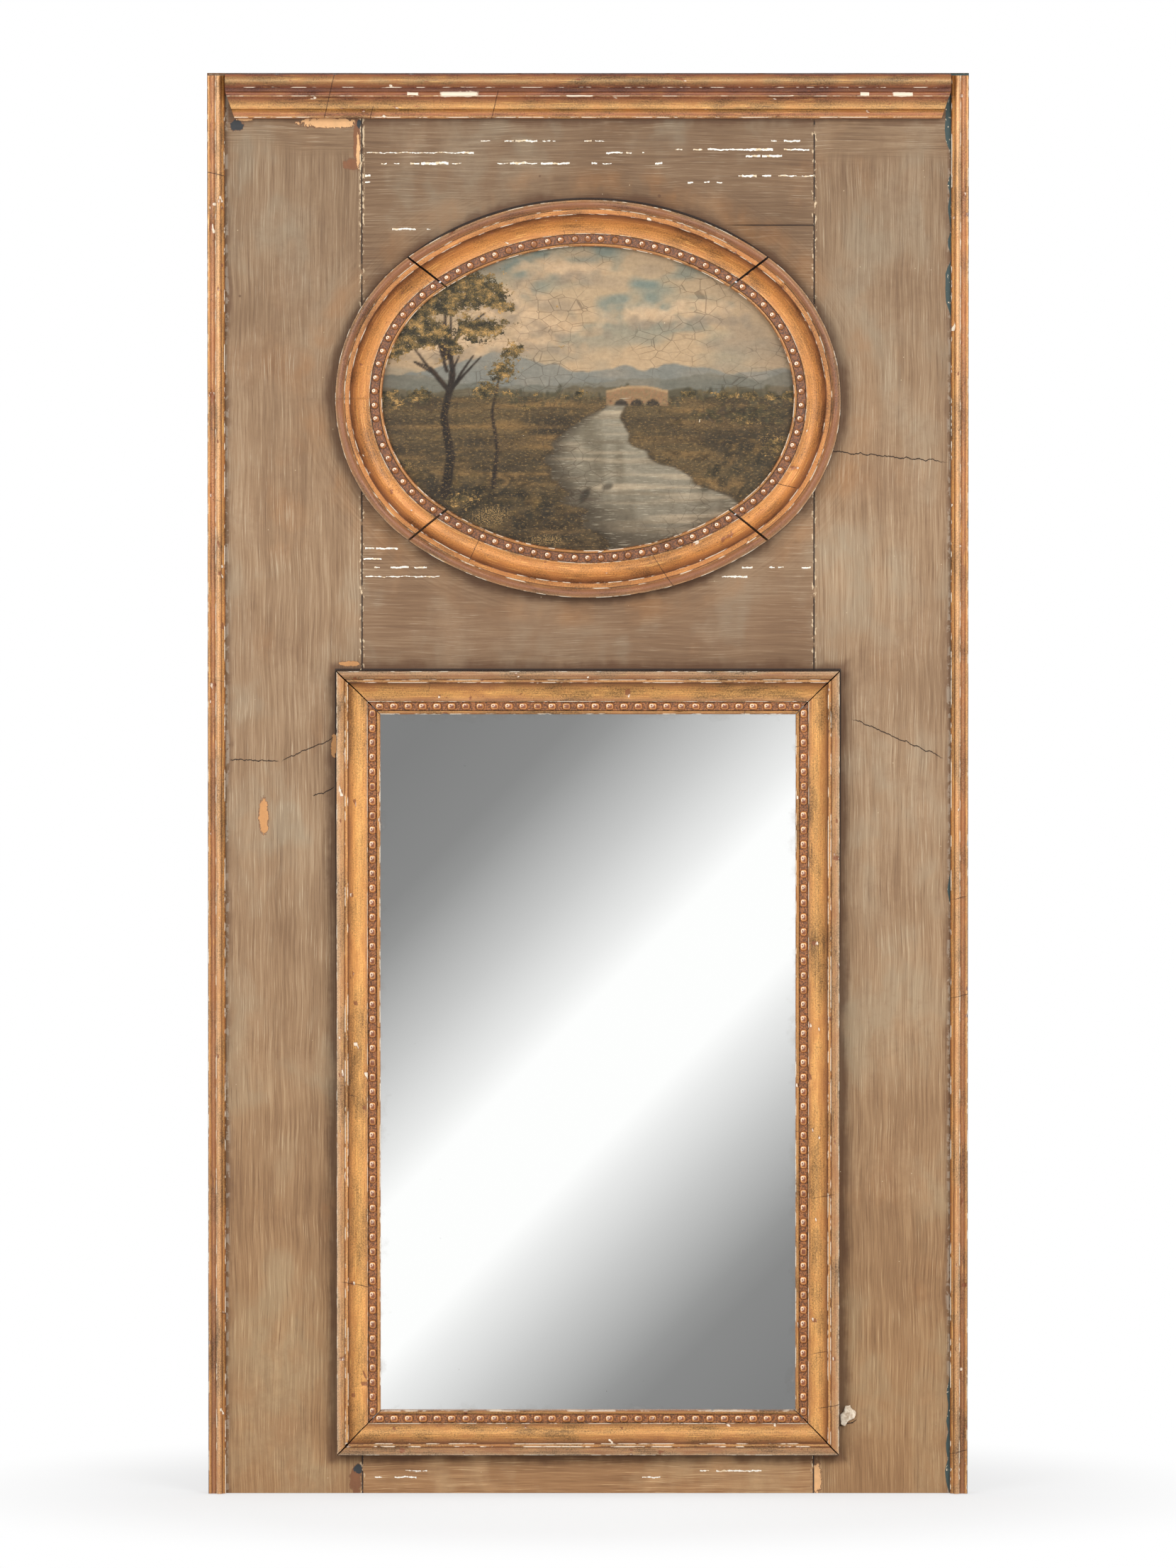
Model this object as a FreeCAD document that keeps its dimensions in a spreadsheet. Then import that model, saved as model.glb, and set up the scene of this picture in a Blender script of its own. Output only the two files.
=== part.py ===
"""Trumeau mirror: a tall painted wooden panel that carries an oval picture in a gilt beaded frame
above a rectangular mirror in a gilt beaded frame. It stands on a mantel shelf or hangs by two rings.

Frame: +X to the viewer's right, +Z up, the front faces -Y, origin at the middle of the base.
Lengths are millimetres and angles are degrees.
"""
import FreeCAD, Part
import math
import os
import re
import Sketcher

# ---------------------------------------------------------------- driving dimensions
SIZES = {
    # painted carcass: two stiles, three rails and the two boards behind the oval
    "overall_width": 722,
    "overall_height": 1350,
    "opening_width": 429,
    "board_thickness": 24,
    "rail_thickness": 18,
    "top_rail_height": 144,
    "middle_rail_height": 98,
    "tenon_length": 30,
    "tenon_thickness": 8,
    "tenon_shoulder": 12,
    "tongue_length": 8,
    "tongue_thickness": 6,
    "joint_clearance": 0.2,
    # mouldings planted along both edges and across the top
    "edge_moulding_width": 17,
    "edge_moulding_projection": 12,
    "edge_lip_width": 3,
    "edge_hollow_width": 4.5,
    "edge_bead_width": 6,
    "edge_lip_height": 8,
    "edge_hollow_height": 7,
    "edge_bead_foot_height": 7.5,
    "edge_step_height": 5,
    "edge_moulding_drop": 2,
    "cornice_height": 43,
    "cornice_projection": 28,
    "cornice_torus_height": 13.5,
    "cornice_recess_height": 3.5,
    "cornice_bead_height": 4.5,
    "cornice_ovolo_height": 9,
    "cornice_bead_projection": 21,
    "cornice_recess_depth": 3.5,
    "cornice_foot_projection": 13,
    "cornice_mitre_width": 9,
    # four mitred lengths around the mirror, with a bead course in a channel
    "mirror_frame_width": 478,
    "mirror_frame_height": 746.5,
    "mirror_frame_foot": 37.5,
    "mirror_frame_face": 42,
    "mirror_frame_projection": 24,
    "mirror_lip_width": 8.5,
    "mirror_fillet_width": 3,
    "mirror_channel_width": 8.5,
    "mirror_inner_lip_width": 3.5,
    "mirror_bead_pitch": 13.6,
    "mirror_bead_length": 8,
    "mirror_bead_width": 6.5,
    # four lengths around the oval, with the same kind of bead course; the height of its centre is
    # counted from the middle of the field between the middle and the top rail
    "oval_frame_width": 480,
    "oval_frame_height": 378,
    "oval_centre_height": 13,
    "oval_frame_face": 45,
    "oval_frame_projection": 24,
    "oval_joint_angle": 38.2,
    "oval_lip_width": 9,
    "oval_fillet_width": 5.5,
    "oval_channel_width": 9,
    "oval_inner_lip_width": 3,
    "oval_bead_pitch": 12.6,
    "oval_bead_diameter": 6.4,
    # heights of a frame's steps above the painted boards, and its bead course
    "fillet_height": 19,
    "cove_foot_height": 9,
    "channel_floor_height": 5,
    "inner_lip_height": 9,
    "strip_thickness": 1.2,
    "bead_rise": 3,
    "bead_side_slope": 32,
    "strip_clearance": 0.2,
    # mirror plate, painted panel, backboards and the blocks that hold them
    "glass_thickness": 4,
    "glass_overlap": 8,
    "glass_clearance": 4,
    "backboard_thickness": 5,
    "backboard_lap": 28,
    "backboard_gap": 0.6,
    "block_length": 60,
    "block_width": 14,
    "picture_thickness": 6,
    "picture_overlap": 7,
    "picture_clearance": 2,
    "picture_block_length": 30,
    "picture_block_depth": 9,
    # two folded hanger straps on the back of the top rail, each with a D ring; their height is
    # counted from the rail's lower edge
    "hanger_spacing": 300,
    "hanger_height": 86,
    "strap_thickness": 1,
    "strap_width": 14,
    "strap_length": 44,
    "strap_hole_diameter": 4,
    "strap_hole_spacing": 20,
    "ring_bar_width": 2.6,
    "ring_thickness": 2,
    "ring_clearance": 0.2,
    "ring_width": 23,
    "ring_leg_length": 8,
    "ring_corner_radius": 3,
    "ring_inner_radius": 0.9,
}

# A round member's arc has this radius for each unit of its width, and rises this far above its edges.
ROUND = 0.56
ROUND_RISE = ROUND - math.sqrt(ROUND ** 2 - 0.25)
# A hollow's arc has this radius for each unit of its chord.
HOLLOW = 0.75
HOLLOW_RISE = HOLLOW - math.sqrt(HOLLOW ** 2 - 0.25)
# On the oval a round member is worked in three flats and a hollow in two. Each corner between
# two flats stands at this share of the way across, at the curve's full rise.
ROUND_CORNERS = [0.3, 0.7]
HOLLOW_CORNERS = [0.5]
# the foot of a bead, as shares of its length and width
BEAD_CORNERS = [(-0.5, -0.5), (0.5, -0.5), (0.5, 0.5), (-0.5, 0.5)]

doc = FreeCAD.newDocument("TrumeauMirror")
sheet = doc.addObject("Spreadsheet::Sheet", "Sizes")
for row, (alias, size) in enumerate(SIZES.items(), start=1):
    sheet.set(f"A{row}", alias)
    sheet.set(f"B{row}", str(size))
    sheet.setAlias(f"B{row}", alias)
doc.recompute()

# ---------------------------------------------------------------- derived places, as formulas
HALF_WIDTH = "overall_width / 2"
HALF_OPENING = "opening_width / 2"
FRONT = "((cornice_projection - board_thickness) / 2)"
STILE_BACK = f"({FRONT} + board_thickness)"
RAIL_BACK = f"({FRONT} + rail_thickness)"
TENON_FRONT = f"({FRONT} + (rail_thickness - tenon_thickness) / 2)"
TENON_BACK = f"({TENON_FRONT} + tenon_thickness)"
TONGUE_FRONT = f"({FRONT} + (rail_thickness - tongue_thickness) / 2)"
TONGUE_BACK = f"({TONGUE_FRONT} + tongue_thickness)"

MIRROR_TOP = "(mirror_frame_foot + mirror_frame_height)"
MIRROR_MIDDLE = "(mirror_frame_foot + mirror_frame_height / 2)"
HALF_GLASS_WIDTH = "(mirror_frame_width / 2 - mirror_frame_face + glass_overlap)"
HALF_GLASS_HEIGHT = "(mirror_frame_height / 2 - mirror_frame_face + glass_overlap)"
GLASS_BACK = f"({FRONT} + glass_thickness)"
OPENING_BOTTOM = f"({MIRROR_MIDDLE} - {HALF_GLASS_HEIGHT} - glass_clearance)"
OPENING_TOP = f"({MIRROR_MIDDLE} + {HALF_GLASS_HEIGHT} + glass_clearance)"
MIDDLE_RAIL_TOP = f"({OPENING_TOP} + middle_rail_height)"
TOP_RAIL_BOTTOM = "(overall_height - top_rail_height)"
OVAL_MIDDLE = f"(({MIDDLE_RAIL_TOP} + {TOP_RAIL_BOTTOM}) / 2 + oval_centre_height)"

PICTURE_HALF_WIDTH = "(oval_frame_width / 2 - oval_frame_face + picture_overlap)"
PICTURE_HALF_HEIGHT = "(oval_frame_height / 2 - oval_frame_face + picture_overlap)"
PICTURE_BACK = f"({FRONT} + picture_thickness)"

BARREL_BORE = "(sqrt(ring_bar_width ^ 2 + ring_thickness ^ 2) / 2 + ring_clearance)"
BARREL_OUTER = f"({BARREL_BORE} + strap_thickness)"

# The oval is drawn with four arcs: tight ones at the left and right ends, wide ones at top and bottom.
# An end arc is a little flatter than the ellipse's own end, which keeps all four near the ellipse.
OVAL_A = "(oval_frame_width / 2)"
OVAL_B = "(oval_frame_height / 2)"
END_FLATNESS = 1.11
END_RADIUS = f"({END_FLATNESS} * {OVAL_B} ^ 2 / {OVAL_A})"
END_CENTRE = f"({OVAL_A} - {END_RADIUS})"
WIDE_RADIUS = f"(({END_CENTRE} ^ 2 + {OVAL_B} ^ 2 - {END_RADIUS} ^ 2) / 2 / ({OVAL_B} - {END_RADIUS}))"
WIDE_CENTRE = f"({WIDE_RADIUS} - {OVAL_B})"
END_SWEEP = f"(atan({WIDE_CENTRE} / {END_CENTRE}) / 1 deg)"


# ---------------------------------------------------------------- formulas and bindings
def formula(text):
    """The text with each size's name turned into a reference to its cell."""
    def cell(word):
        return f"Sizes.{word.group()}" if word.group() in SIZES else word.group()

    return re.sub(r"[a-z_]+", cell, text)


def value(text):
    """The present value of a formula."""
    return float(sheet.evalExpression(formula(text)))


def bind(piece, **formulas):
    """Ties properties of a piece to formulas; x, y and z are its position."""
    for name, text in formulas.items():
        path = f"Placement.Base.{name}" if name in ("x", "y", "z") else name
        piece.setExpression(path, formula(text))
    return piece


def origin_plane(body, role):
    return next(feature for feature in body.Origin.OriginFeatures if feature.Role == role)


def outline(sketch, points):
    """Draws a closed outline through points (x, y, radius), each a formula.

    The radius is that of the arc which leads on to the next point, None where a straight line does.
    The arc bulges to the left of the way drawn, or to the right where its formula starts with a minus.
    """
    corners = [FreeCAD.Vector(value(x), value(y), 0) for x, y, radius in points]
    for index, (x, y, radius) in enumerate(points):
        start, end = corners[index], corners[(index + 1) % len(corners)]
        if radius is None:
            sketch.addGeometry(Part.LineSegment(start, end), False)
            continue
        bend = value(radius)
        chord = end - start
        rise = abs(bend) - math.sqrt(bend ** 2 - (chord.Length / 2) ** 2)
        side = FreeCAD.Vector(-chord.y, chord.x, 0).normalize() * math.copysign(rise, bend)
        sketch.addGeometry(Part.Arc(start, (start + end) * 0.5 + side, end), False)
    firsts = []
    for index, corner in enumerate(corners):
        near = sketch.getPoint(index, 1).distanceToPoint(corner) < 1e-6
        firsts.append(1 if near else 2)
    for index, (x, y, radius) in enumerate(points):
        following = (index + 1) % len(points)
        sketch.addConstraint(
            Sketcher.Constraint("Coincident", index, 3 - firsts[index], following, firsts[following]))
        for kind, text in (("DistanceX", x), ("DistanceY", y)):
            number = sketch.addConstraint(
                Sketcher.Constraint(kind, -1, 1, index, firsts[index], value(text)))
            sketch.setExpression(f"Constraints[{number}]", formula(text))
        if radius is not None:
            number = sketch.addConstraint(Sketcher.Constraint("Radius", index, abs(value(radius))))
            sketch.setExpression(f"Constraints[{number}]", formula(radius.lstrip("-")))
    return sketch


def body_sketch(body, plane, points, offset=None):
    """A closed outline on one of the body's origin planes, moved along its normal by a formula."""
    sketch = body.newObject("Sketcher::SketchObject", f"{body.Name}_outline")
    sketch.AttachmentSupport = [(origin_plane(body, plane), "")]
    sketch.MapMode = "FlatFace"
    if offset:
        sketch.setExpression("AttachmentOffset.Base.z", formula(offset))
    doc.recompute()
    return outline(sketch, points)


def rectangle(left, bottom, right, top):
    return [(left, bottom, None), (right, bottom, None), (right, top, None), (left, top, None)]


def new_body(label):
    body = doc.addObject("PartDesign::Body", label)
    body.Label = label
    return body


def block_feature(body, kind, x, y, z):
    """A box feature of a body between two formulas along each axis."""
    feature = body.newObject(f"PartDesign::{kind}Box", f"{body.Name}_{kind.lower()}")
    bind(feature, Length=f"{x[1]} - ({x[0]})", Width=f"{y[1]} - ({y[0]})", Height=f"{z[1]} - ({z[0]})")
    return bind(feature, x=x[0], y=y[0], z=z[0])


def pad(body, sketch, length, both_ways=False):
    feature = body.newObject("PartDesign::Pad", f"{body.Name}_pad")
    feature.Profile = sketch
    feature.Midplane = both_ways
    return bind(feature, Length=length)


def through_pocket(body, sketch):
    """Cuts the outline right through the body, both ways."""
    feature = body.newObject("PartDesign::Pocket", f"{body.Name}_pocket")
    feature.Profile = sketch
    feature.Midplane = True
    feature.Type = "Length"
    return bind(feature, Length="overall_width")


def boolean(kind, label, base, tool):
    piece = doc.addObject(f"Part::{kind}", label)
    piece.Base = base
    piece.Tool = tool
    piece.Label = label
    return piece


def mirrored(label, source):
    """The left-right twin of a piece, across the middle plane."""
    piece = doc.addObject("Part::Mirroring", label)
    piece.Source = source
    piece.Normal = FreeCAD.Vector(1, 0, 0)
    piece.Label = label
    return piece


# ---------------------------------------------------------------- carcass boards
def stile():
    """A full-height side board, mortised for the rails and grooved for the boards behind the oval."""
    body = new_body("left_stile")
    section = rectangle(f"-{HALF_WIDTH}", FRONT, f"-{HALF_OPENING}", STILE_BACK)
    pad(body, body_sketch(body, "XY_Plane", section), "overall_height")
    mortise_x = (f"-{HALF_OPENING} - tenon_length - joint_clearance", f"-{HALF_OPENING}")
    mortise_y = (f"{TENON_FRONT} - joint_clearance", f"{TENON_BACK} + joint_clearance")
    play = "tenon_shoulder - joint_clearance"
    rails = (("0", OPENING_BOTTOM), (OPENING_TOP, MIDDLE_RAIL_TOP), (TOP_RAIL_BOTTOM, "overall_height"))
    for bottom, top in rails:
        mortise_z = (f"{bottom} + {play}", f"{top} - ({play})")
        block_feature(body, "Subtractive", mortise_x, mortise_y, mortise_z)
    groove_x = (f"-{HALF_OPENING} - tongue_length - joint_clearance", f"-{HALF_OPENING}")
    groove_y = (f"{TONGUE_FRONT} - joint_clearance", f"{TONGUE_BACK} + joint_clearance")
    block_feature(body, "Subtractive", groove_x, groove_y, (MIDDLE_RAIL_TOP, TOP_RAIL_BOTTOM))
    return body


def rail(label, bottom, top, groove=None):
    """A cross board with a tenon at each end; groove names the edge that takes a tongue.

    A grooved rail is next to the boards behind the oval, and is sawn out with them for the picture.
    """
    body = new_body(f"{label}_board" if groove else label)
    across = (f"-{HALF_OPENING}", HALF_OPENING)
    block_feature(body, "Additive", across, (FRONT, RAIL_BACK), (bottom, top))
    tenon_x = (f"-{HALF_OPENING} - tenon_length", f"{HALF_OPENING} + tenon_length")
    tenon_z = (f"{bottom} + tenon_shoulder", f"{top} - tenon_shoulder")
    block_feature(body, "Additive", tenon_x, (TENON_FRONT, TENON_BACK), tenon_z)
    groove_y = (f"{TONGUE_FRONT} - joint_clearance", f"{TONGUE_BACK} + joint_clearance")
    groove_depth = "(tongue_length + joint_clearance)"
    if groove == "top":
        block_feature(body, "Subtractive", across, groove_y, (f"{top} - {groove_depth}", top))
    if groove == "bottom":
        block_feature(body, "Subtractive", across, groove_y, (bottom, f"{bottom} + {groove_depth}"))
    return boolean("Cut", label, body, picture_opening) if groove else body


def oval_prism(label, half_width, half_height, front, back):
    """An elliptical prism around the middle of the oval frame, its flat ends facing front and back."""
    curve = doc.addObject("Part::Ellipse", f"{label}_curve")
    bind(curve, MajorRadius=half_width, MinorRadius=half_height, y=front, z=OVAL_MIDDLE)
    curve.Placement.Rotation = FreeCAD.Rotation(FreeCAD.Vector(1, 0, 0), 90)
    prism = doc.addObject("Part::Extrusion", label)
    prism.Base = curve
    prism.DirMode = "Custom"
    prism.Dir = FreeCAD.Vector(0, 1, 0)
    prism.Solid = True
    return bind(prism, LengthFwd=f"{back} - ({front})")


def surround_board(label, bottom, top, rail_edge):
    """Half of the field behind the oval frame, tongued into the stiles and, at rail_edge, into a rail."""
    body = new_body(f"{label}_board")
    across = (f"-{HALF_OPENING}", HALF_OPENING)
    block_feature(body, "Additive", across, (FRONT, RAIL_BACK), (bottom, top))
    tongue_y = (TONGUE_FRONT, TONGUE_BACK)
    tongue_x = (f"-{HALF_OPENING} - tongue_length", f"{HALF_OPENING} + tongue_length")
    block_feature(body, "Additive", tongue_x, tongue_y, (bottom, top))
    tongue_z = (f"{rail_edge} - tongue_length", f"{rail_edge} + tongue_length")
    block_feature(body, "Additive", across, tongue_y, tongue_z)
    return boolean("Cut", label, body, picture_opening)


left_stile = stile()
right_stile = mirrored("right_stile", left_stile)
picture_opening = oval_prism(
    "picture_opening",
    f"{PICTURE_HALF_WIDTH} + picture_clearance",
    f"{PICTURE_HALF_HEIGHT} + picture_clearance",
    f"{FRONT} - rail_thickness",
    f"{RAIL_BACK} + rail_thickness",
)
top_rail = rail("top_rail", TOP_RAIL_BOTTOM, "overall_height", groove="bottom")
middle_rail = rail("middle_rail", OPENING_TOP, MIDDLE_RAIL_TOP, groove="top")
bottom_rail = rail("bottom_rail", "0", OPENING_BOTTOM)
surround_upper = surround_board("oval_surround_upper", OVAL_MIDDLE, TOP_RAIL_BOTTOM, TOP_RAIL_BOTTOM)
surround_lower = surround_board("oval_surround_lower", MIDDLE_RAIL_TOP, OVAL_MIDDLE, MIDDLE_RAIL_TOP)


# ---------------------------------------------------------------- edge mouldings and cornice
def edge_moulding():
    """A lip, a hollow, a round bead and a sloping inner step, run the full height of the panel's edge."""
    body = new_body("left_edge_moulding")
    outer = f"-{HALF_WIDTH}"
    hollow_start = f"{outer} + edge_lip_width"
    bead_start = f"{hollow_start} + edge_hollow_width"
    bead_end = f"{bead_start} + edge_bead_width"
    inner = f"{outer} + edge_moulding_width"
    lip_level = f"{FRONT} - edge_lip_height"
    hollow_level = f"{FRONT} - edge_hollow_height"
    bead_level = f"{FRONT} - edge_moulding_projection + edge_bead_width * {ROUND_RISE}"
    step_level = f"{FRONT} - edge_step_height"
    profile = [
        (outer, FRONT, None),
        (inner, FRONT, None),
        (inner, step_level, None),
        (bead_end, f"{FRONT} - edge_bead_foot_height", None),
        (bead_end, bead_level, f"edge_bead_width * {ROUND}"),
        (bead_start, bead_level, None),
        (bead_start, hollow_level, f"-edge_hollow_width * {HOLLOW}"),
        (hollow_start, hollow_level, None),
        (hollow_start, lip_level, f"edge_lip_width * {ROUND}"),
        (outer, lip_level, None),
    ]
    section = body_sketch(body, "XY_Plane", profile)
    pad(body, section, "overall_height - edge_moulding_drop")
    return body


def cornice():
    """The top moulding: torus, shadow recess, bead, cove and ovolo, the lower members mitred at the ends."""
    body = new_body("cornice_moulding")
    top = "overall_height"
    recess_top = f"{top} - cornice_torus_height"
    recess_bottom = f"{recess_top} - cornice_recess_height"
    bead_bottom = f"{recess_bottom} - cornice_bead_height"
    bottom = f"{top} - cornice_height"
    ovolo_top = f"{bottom} + cornice_ovolo_height"
    face = f"{FRONT} - cornice_projection"
    torus_level = f"{face} + cornice_torus_height * {ROUND_RISE}"
    cove_foot = f"{FRONT} - cornice_foot_projection"
    bead_level = f"{FRONT} - cornice_bead_projection + cornice_bead_height * {ROUND_RISE}"
    recess_level = f"{bead_level} + cornice_recess_depth"
    cove_level = f"{bead_level} + cornice_bead_height * {ROUND_RISE}"
    cove_chord = f"sqrt(({bead_bottom} - ({ovolo_top})) ^ 2 + ({cove_foot} - ({cove_level})) ^ 2)"
    ovolo_level = f"{cove_foot} + cornice_ovolo_height * {ROUND_RISE}"
    profile = [
        (FRONT, top, None),
        (FRONT, bottom, None),
        (ovolo_level, bottom, f"cornice_ovolo_height * {ROUND}"),
        (ovolo_level, ovolo_top, None),
        (cove_foot, ovolo_top, f"-{cove_chord} * {HOLLOW}"),
        (cove_level, bead_bottom, None),
        (bead_level, bead_bottom, f"cornice_bead_height * {ROUND}"),
        (bead_level, recess_bottom, None),
        (recess_level, recess_bottom, None),
        (recess_level, recess_top, None),
        (torus_level, recess_top, f"cornice_torus_height * {ROUND}"),
        (torus_level, top, None),
    ]
    section = body_sketch(body, "YZ_Plane", profile)
    half_length = f"{HALF_WIDTH} - edge_moulding_width - joint_clearance"
    pad(body, section, f"2 * ({half_length})", both_ways=True)
    for side in ("", "-"):
        end = f"{side}({half_length})"
        foot = f"{side}({half_length} - cornice_mitre_width)"
        beyond = f"{side}({half_length} + cornice_mitre_width)"
        below = f"{bottom} - cornice_height"
        wedge = [(end, recess_bottom, None), (foot, bottom, None), (foot, below, None),
                 (beyond, below, None), (beyond, recess_bottom, None)]
        through_pocket(body, body_sketch(body, "XZ_Plane", wedge))
    return body


left_edge = edge_moulding()
right_edge = mirrored("right_edge_moulding", left_edge)
top_moulding = cornice()


# ---------------------------------------------------------------- gilt frame lengths
def channel(size):
    """Where the bead channel of a frame starts and ends, counted inward from the frame's outer edge."""
    end = f"({size}_frame_face - {size}_inner_lip_width)"
    return f"({end} - {size}_channel_width)", end


def frame_section(size, place):
    """The section of a frame length, from the outer edge of its back round to its inner edge.

    From outside in it has a round lip, a fillet, a cove, a channel for the bead course and an inner lip.
    place turns a distance inward and a height above the boards into a point of the sketch.
    """
    crown = f"({size}_frame_projection - {size}_lip_width * {ROUND_RISE})"
    cove_start = f"{size}_lip_width + {size}_fillet_width"
    channel_start, channel_end = channel(size)
    cove_width = f"({channel_start} - {size}_lip_width - {size}_fillet_width)"
    cove_chord = f"sqrt({cove_width} ^ 2 + (fillet_height - cove_foot_height) ^ 2)"
    steps = [
        ("0", "0", None),
        ("0", crown, f"{size}_lip_width * {ROUND}"),
        (f"{size}_lip_width", crown, None),
        (f"{size}_lip_width", "fillet_height", None),
        (cove_start, "fillet_height", f"-{cove_chord} * {HOLLOW}"),
        (channel_start, "cove_foot_height", None),
        (channel_start, "channel_floor_height", None),
        (channel_end, "channel_floor_height", None),
        (channel_end, "inner_lip_height", None),
        (f"{size}_frame_face", "inner_lip_height", None),
        (f"{size}_frame_face", "0", None),
    ]
    return [(*place(inward, height), radius) for inward, height, radius in steps]


def flats(points, place):
    """The same section with its round member and its hollow worked as flats."""
    steps = []
    for index, (inward, height, radius) in enumerate(points):
        steps.append((*place(inward, height), None))
        if radius is None:
            continue
        hollow = radius.startswith("-")
        rise, corners = (-HOLLOW_RISE, HOLLOW_CORNERS) if hollow else (ROUND_RISE, ROUND_CORNERS)
        far_inward, far_height = points[index + 1][:2]
        run = f"({far_inward} - {inward})"
        climb = f"({far_height} - {height})"
        for share in corners:
            steps.append((*place(f"{inward} + {share} * {run} - {rise} * {climb}",
                                 f"{height} + {share} * {climb} + {rise} * {run}"), None))
    return steps


SIDES = {
    # side of the mirror: its turn about Y, the place of its outer edge's middle, and its outer length
    "bottom": (0, "0", "mirror_frame_foot", "mirror_frame_width"),
    "left": (90, "-mirror_frame_width / 2", MIRROR_MIDDLE, "mirror_frame_height"),
    "top": (180, "0", MIRROR_TOP, "mirror_frame_width"),
    "right": (270, "mirror_frame_width / 2", MIRROR_MIDDLE, "mirror_frame_height"),
}


def mirror_frame_length(side):
    """A straight length on one side of the mirror, run along its own X and mitred at both ends.

    In its own place the outer edge lies on Z = 0, the back on Y = 0, and inward is +Z.
    """
    turn, x, z, run = SIDES[side]
    body = new_body(f"mirror_frame_{side}")

    def place(inward, height):
        return f"-({height})", inward

    pad(body, body_sketch(body, "YZ_Plane", frame_section("mirror", place)), run, both_ways=True)
    for hand in ("", "-"):
        corner = f"{hand}({run} / 2)"
        inner = f"{hand}({run} / 2 - mirror_frame_face)"
        beyond = f"{hand}({run} / 2 + mirror_frame_face)"
        wedge = [(corner, "0", None), (inner, "mirror_frame_face", None),
                 (beyond, "mirror_frame_face", None), (beyond, "0", None)]
        through_pocket(body, body_sketch(body, "XZ_Plane", wedge))
    body.Placement.Rotation = FreeCAD.Rotation(FreeCAD.Vector(0, 1, 0), turn)
    return bind(body, x=x, y=FRONT, z=z)


def bead(foot, along, inward, length, width):
    """One faceted bead, its foot on the strip around a point and its sides drawn in towards the front."""
    rise = value("bead_rise")
    draw_in = rise * math.tan(math.radians(value("bead_side_slope")))
    rings = []
    for level, scale in ((0, 1), (rise, 1 - 2 * draw_in / width)):
        rings.append([
            foot + along * (scale * length * share_x) + inward * (scale * width * share_y)
            + FreeCAD.Vector(0, -level, 0)
            for share_x, share_y in BEAD_CORNERS])
    low, high = rings
    faces = [Part.Face(Part.makePolygon(ring + ring[:1])) for ring in rings]
    for index in range(len(low)):
        following = (index + 1) % len(low)
        side = [low[index], low[following], high[following], high[index], low[index]]
        faces.append(Part.Face(Part.makePolygon(side)))
    return Part.Solid(Part.Shell(faces))


def bead_row(label, border, places, length, width):
    """A strip with the given border on the channel's floor and a bead at each place (point, inward)."""
    top = FreeCAD.Vector(0, -value("strip_thickness"), 0)
    strip = Part.Face(Part.makePolygon(border + border[:1])).extrude(top)
    beads = []
    for point, inward in places:
        along = FreeCAD.Vector(inward.z, 0, -inward.x)
        beads.append(bead(point + top, along, inward, length, width))
    row = doc.addObject("Part::Feature", label)
    row.Shape = strip.multiFuse(beads)
    return row


def mirror_bead_strip(side):
    """A straight course of beads, evenly spaced between the mitres of its strip."""
    turn, x, z, run = SIDES[side]
    start = value(f"{channel('mirror')[0]} + strip_clearance")
    end = value(f"{channel('mirror')[1]} - strip_clearance")
    half_run = value(run) / 2
    level = -value("channel_floor_height")
    border = [FreeCAD.Vector(hand * (half_run - inward), level, inward)
              for hand, inward in ((-1, start), (1, start), (1, end), (-1, end))]
    middle = (start + end) / 2
    room = 2 * (half_run - middle)
    count = math.floor(room / value("mirror_bead_pitch"))
    inward = FreeCAD.Vector(0, 0, 1)
    places = [(FreeCAD.Vector((index + 0.5) * room / count - room / 2, level, middle), inward)
              for index in range(count)]
    sizes = value("mirror_bead_length"), value("mirror_bead_width")
    row = bead_row(f"mirror_beads_{side}", border, places, *sizes)
    row.Placement.Rotation = FreeCAD.Rotation(FreeCAD.Vector(0, 1, 0), turn)
    return bind(row, x=x, y=FRONT, z=z)


mirror_frame = [mirror_frame_length(side) for side in SIDES]
mirror_beads = [mirror_bead_strip(side) for side in SIDES]


# ---------------------------------------------------------------- oval frame
def oval_arc(label, radius, centre_x, centre_z, turn, half_sweep):
    """The frame's section turned about the centre of one of the oval's four arcs."""
    profile = doc.addObject("Sketcher::SketchObject", f"{label}_section")

    def place(inward, height):
        return f"{radius} - ({inward})", f"-({height})"

    outline(profile, flats(frame_section("oval", lambda inward, height: (inward, height)), place))
    profile.Placement.Rotation = FreeCAD.Rotation(FreeCAD.Vector(0, 1, 0), -turn)
    bind(profile, x=centre_x, y=FRONT, z=f"{OVAL_MIDDLE} + {centre_z}")
    arc = doc.addObject("Part::Revolution", label)
    arc.Source = profile
    arc.Axis = FreeCAD.Vector(0, 1, 0)
    arc.Symmetric = True
    arc.Solid = True
    arc.setExpression("Base.x", formula(centre_x))
    arc.setExpression("Base.z", formula(f"{OVAL_MIDDLE} + {centre_z}"))
    return bind(arc, Angle=f"2 * {half_sweep}")


def oval_ring():
    """The whole oval frame, four arcs that run into each other without a corner."""
    wide_sweep = f"(90 - {END_SWEEP})"
    arcs = [
        oval_arc("oval_arc_right", END_RADIUS, END_CENTRE, "0", 0, END_SWEEP),
        oval_arc("oval_arc_top", WIDE_RADIUS, "0", f"-{WIDE_CENTRE}", 90, wide_sweep),
        oval_arc("oval_arc_left", END_RADIUS, f"-{END_CENTRE}", "0", 180, END_SWEEP),
        oval_arc("oval_arc_bottom", WIDE_RADIUS, "0", WIDE_CENTRE, 270, wide_sweep),
    ]
    ring = doc.addObject("Part::MultiFuse", "oval_ring")
    ring.Shapes = arcs
    return ring


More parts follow.
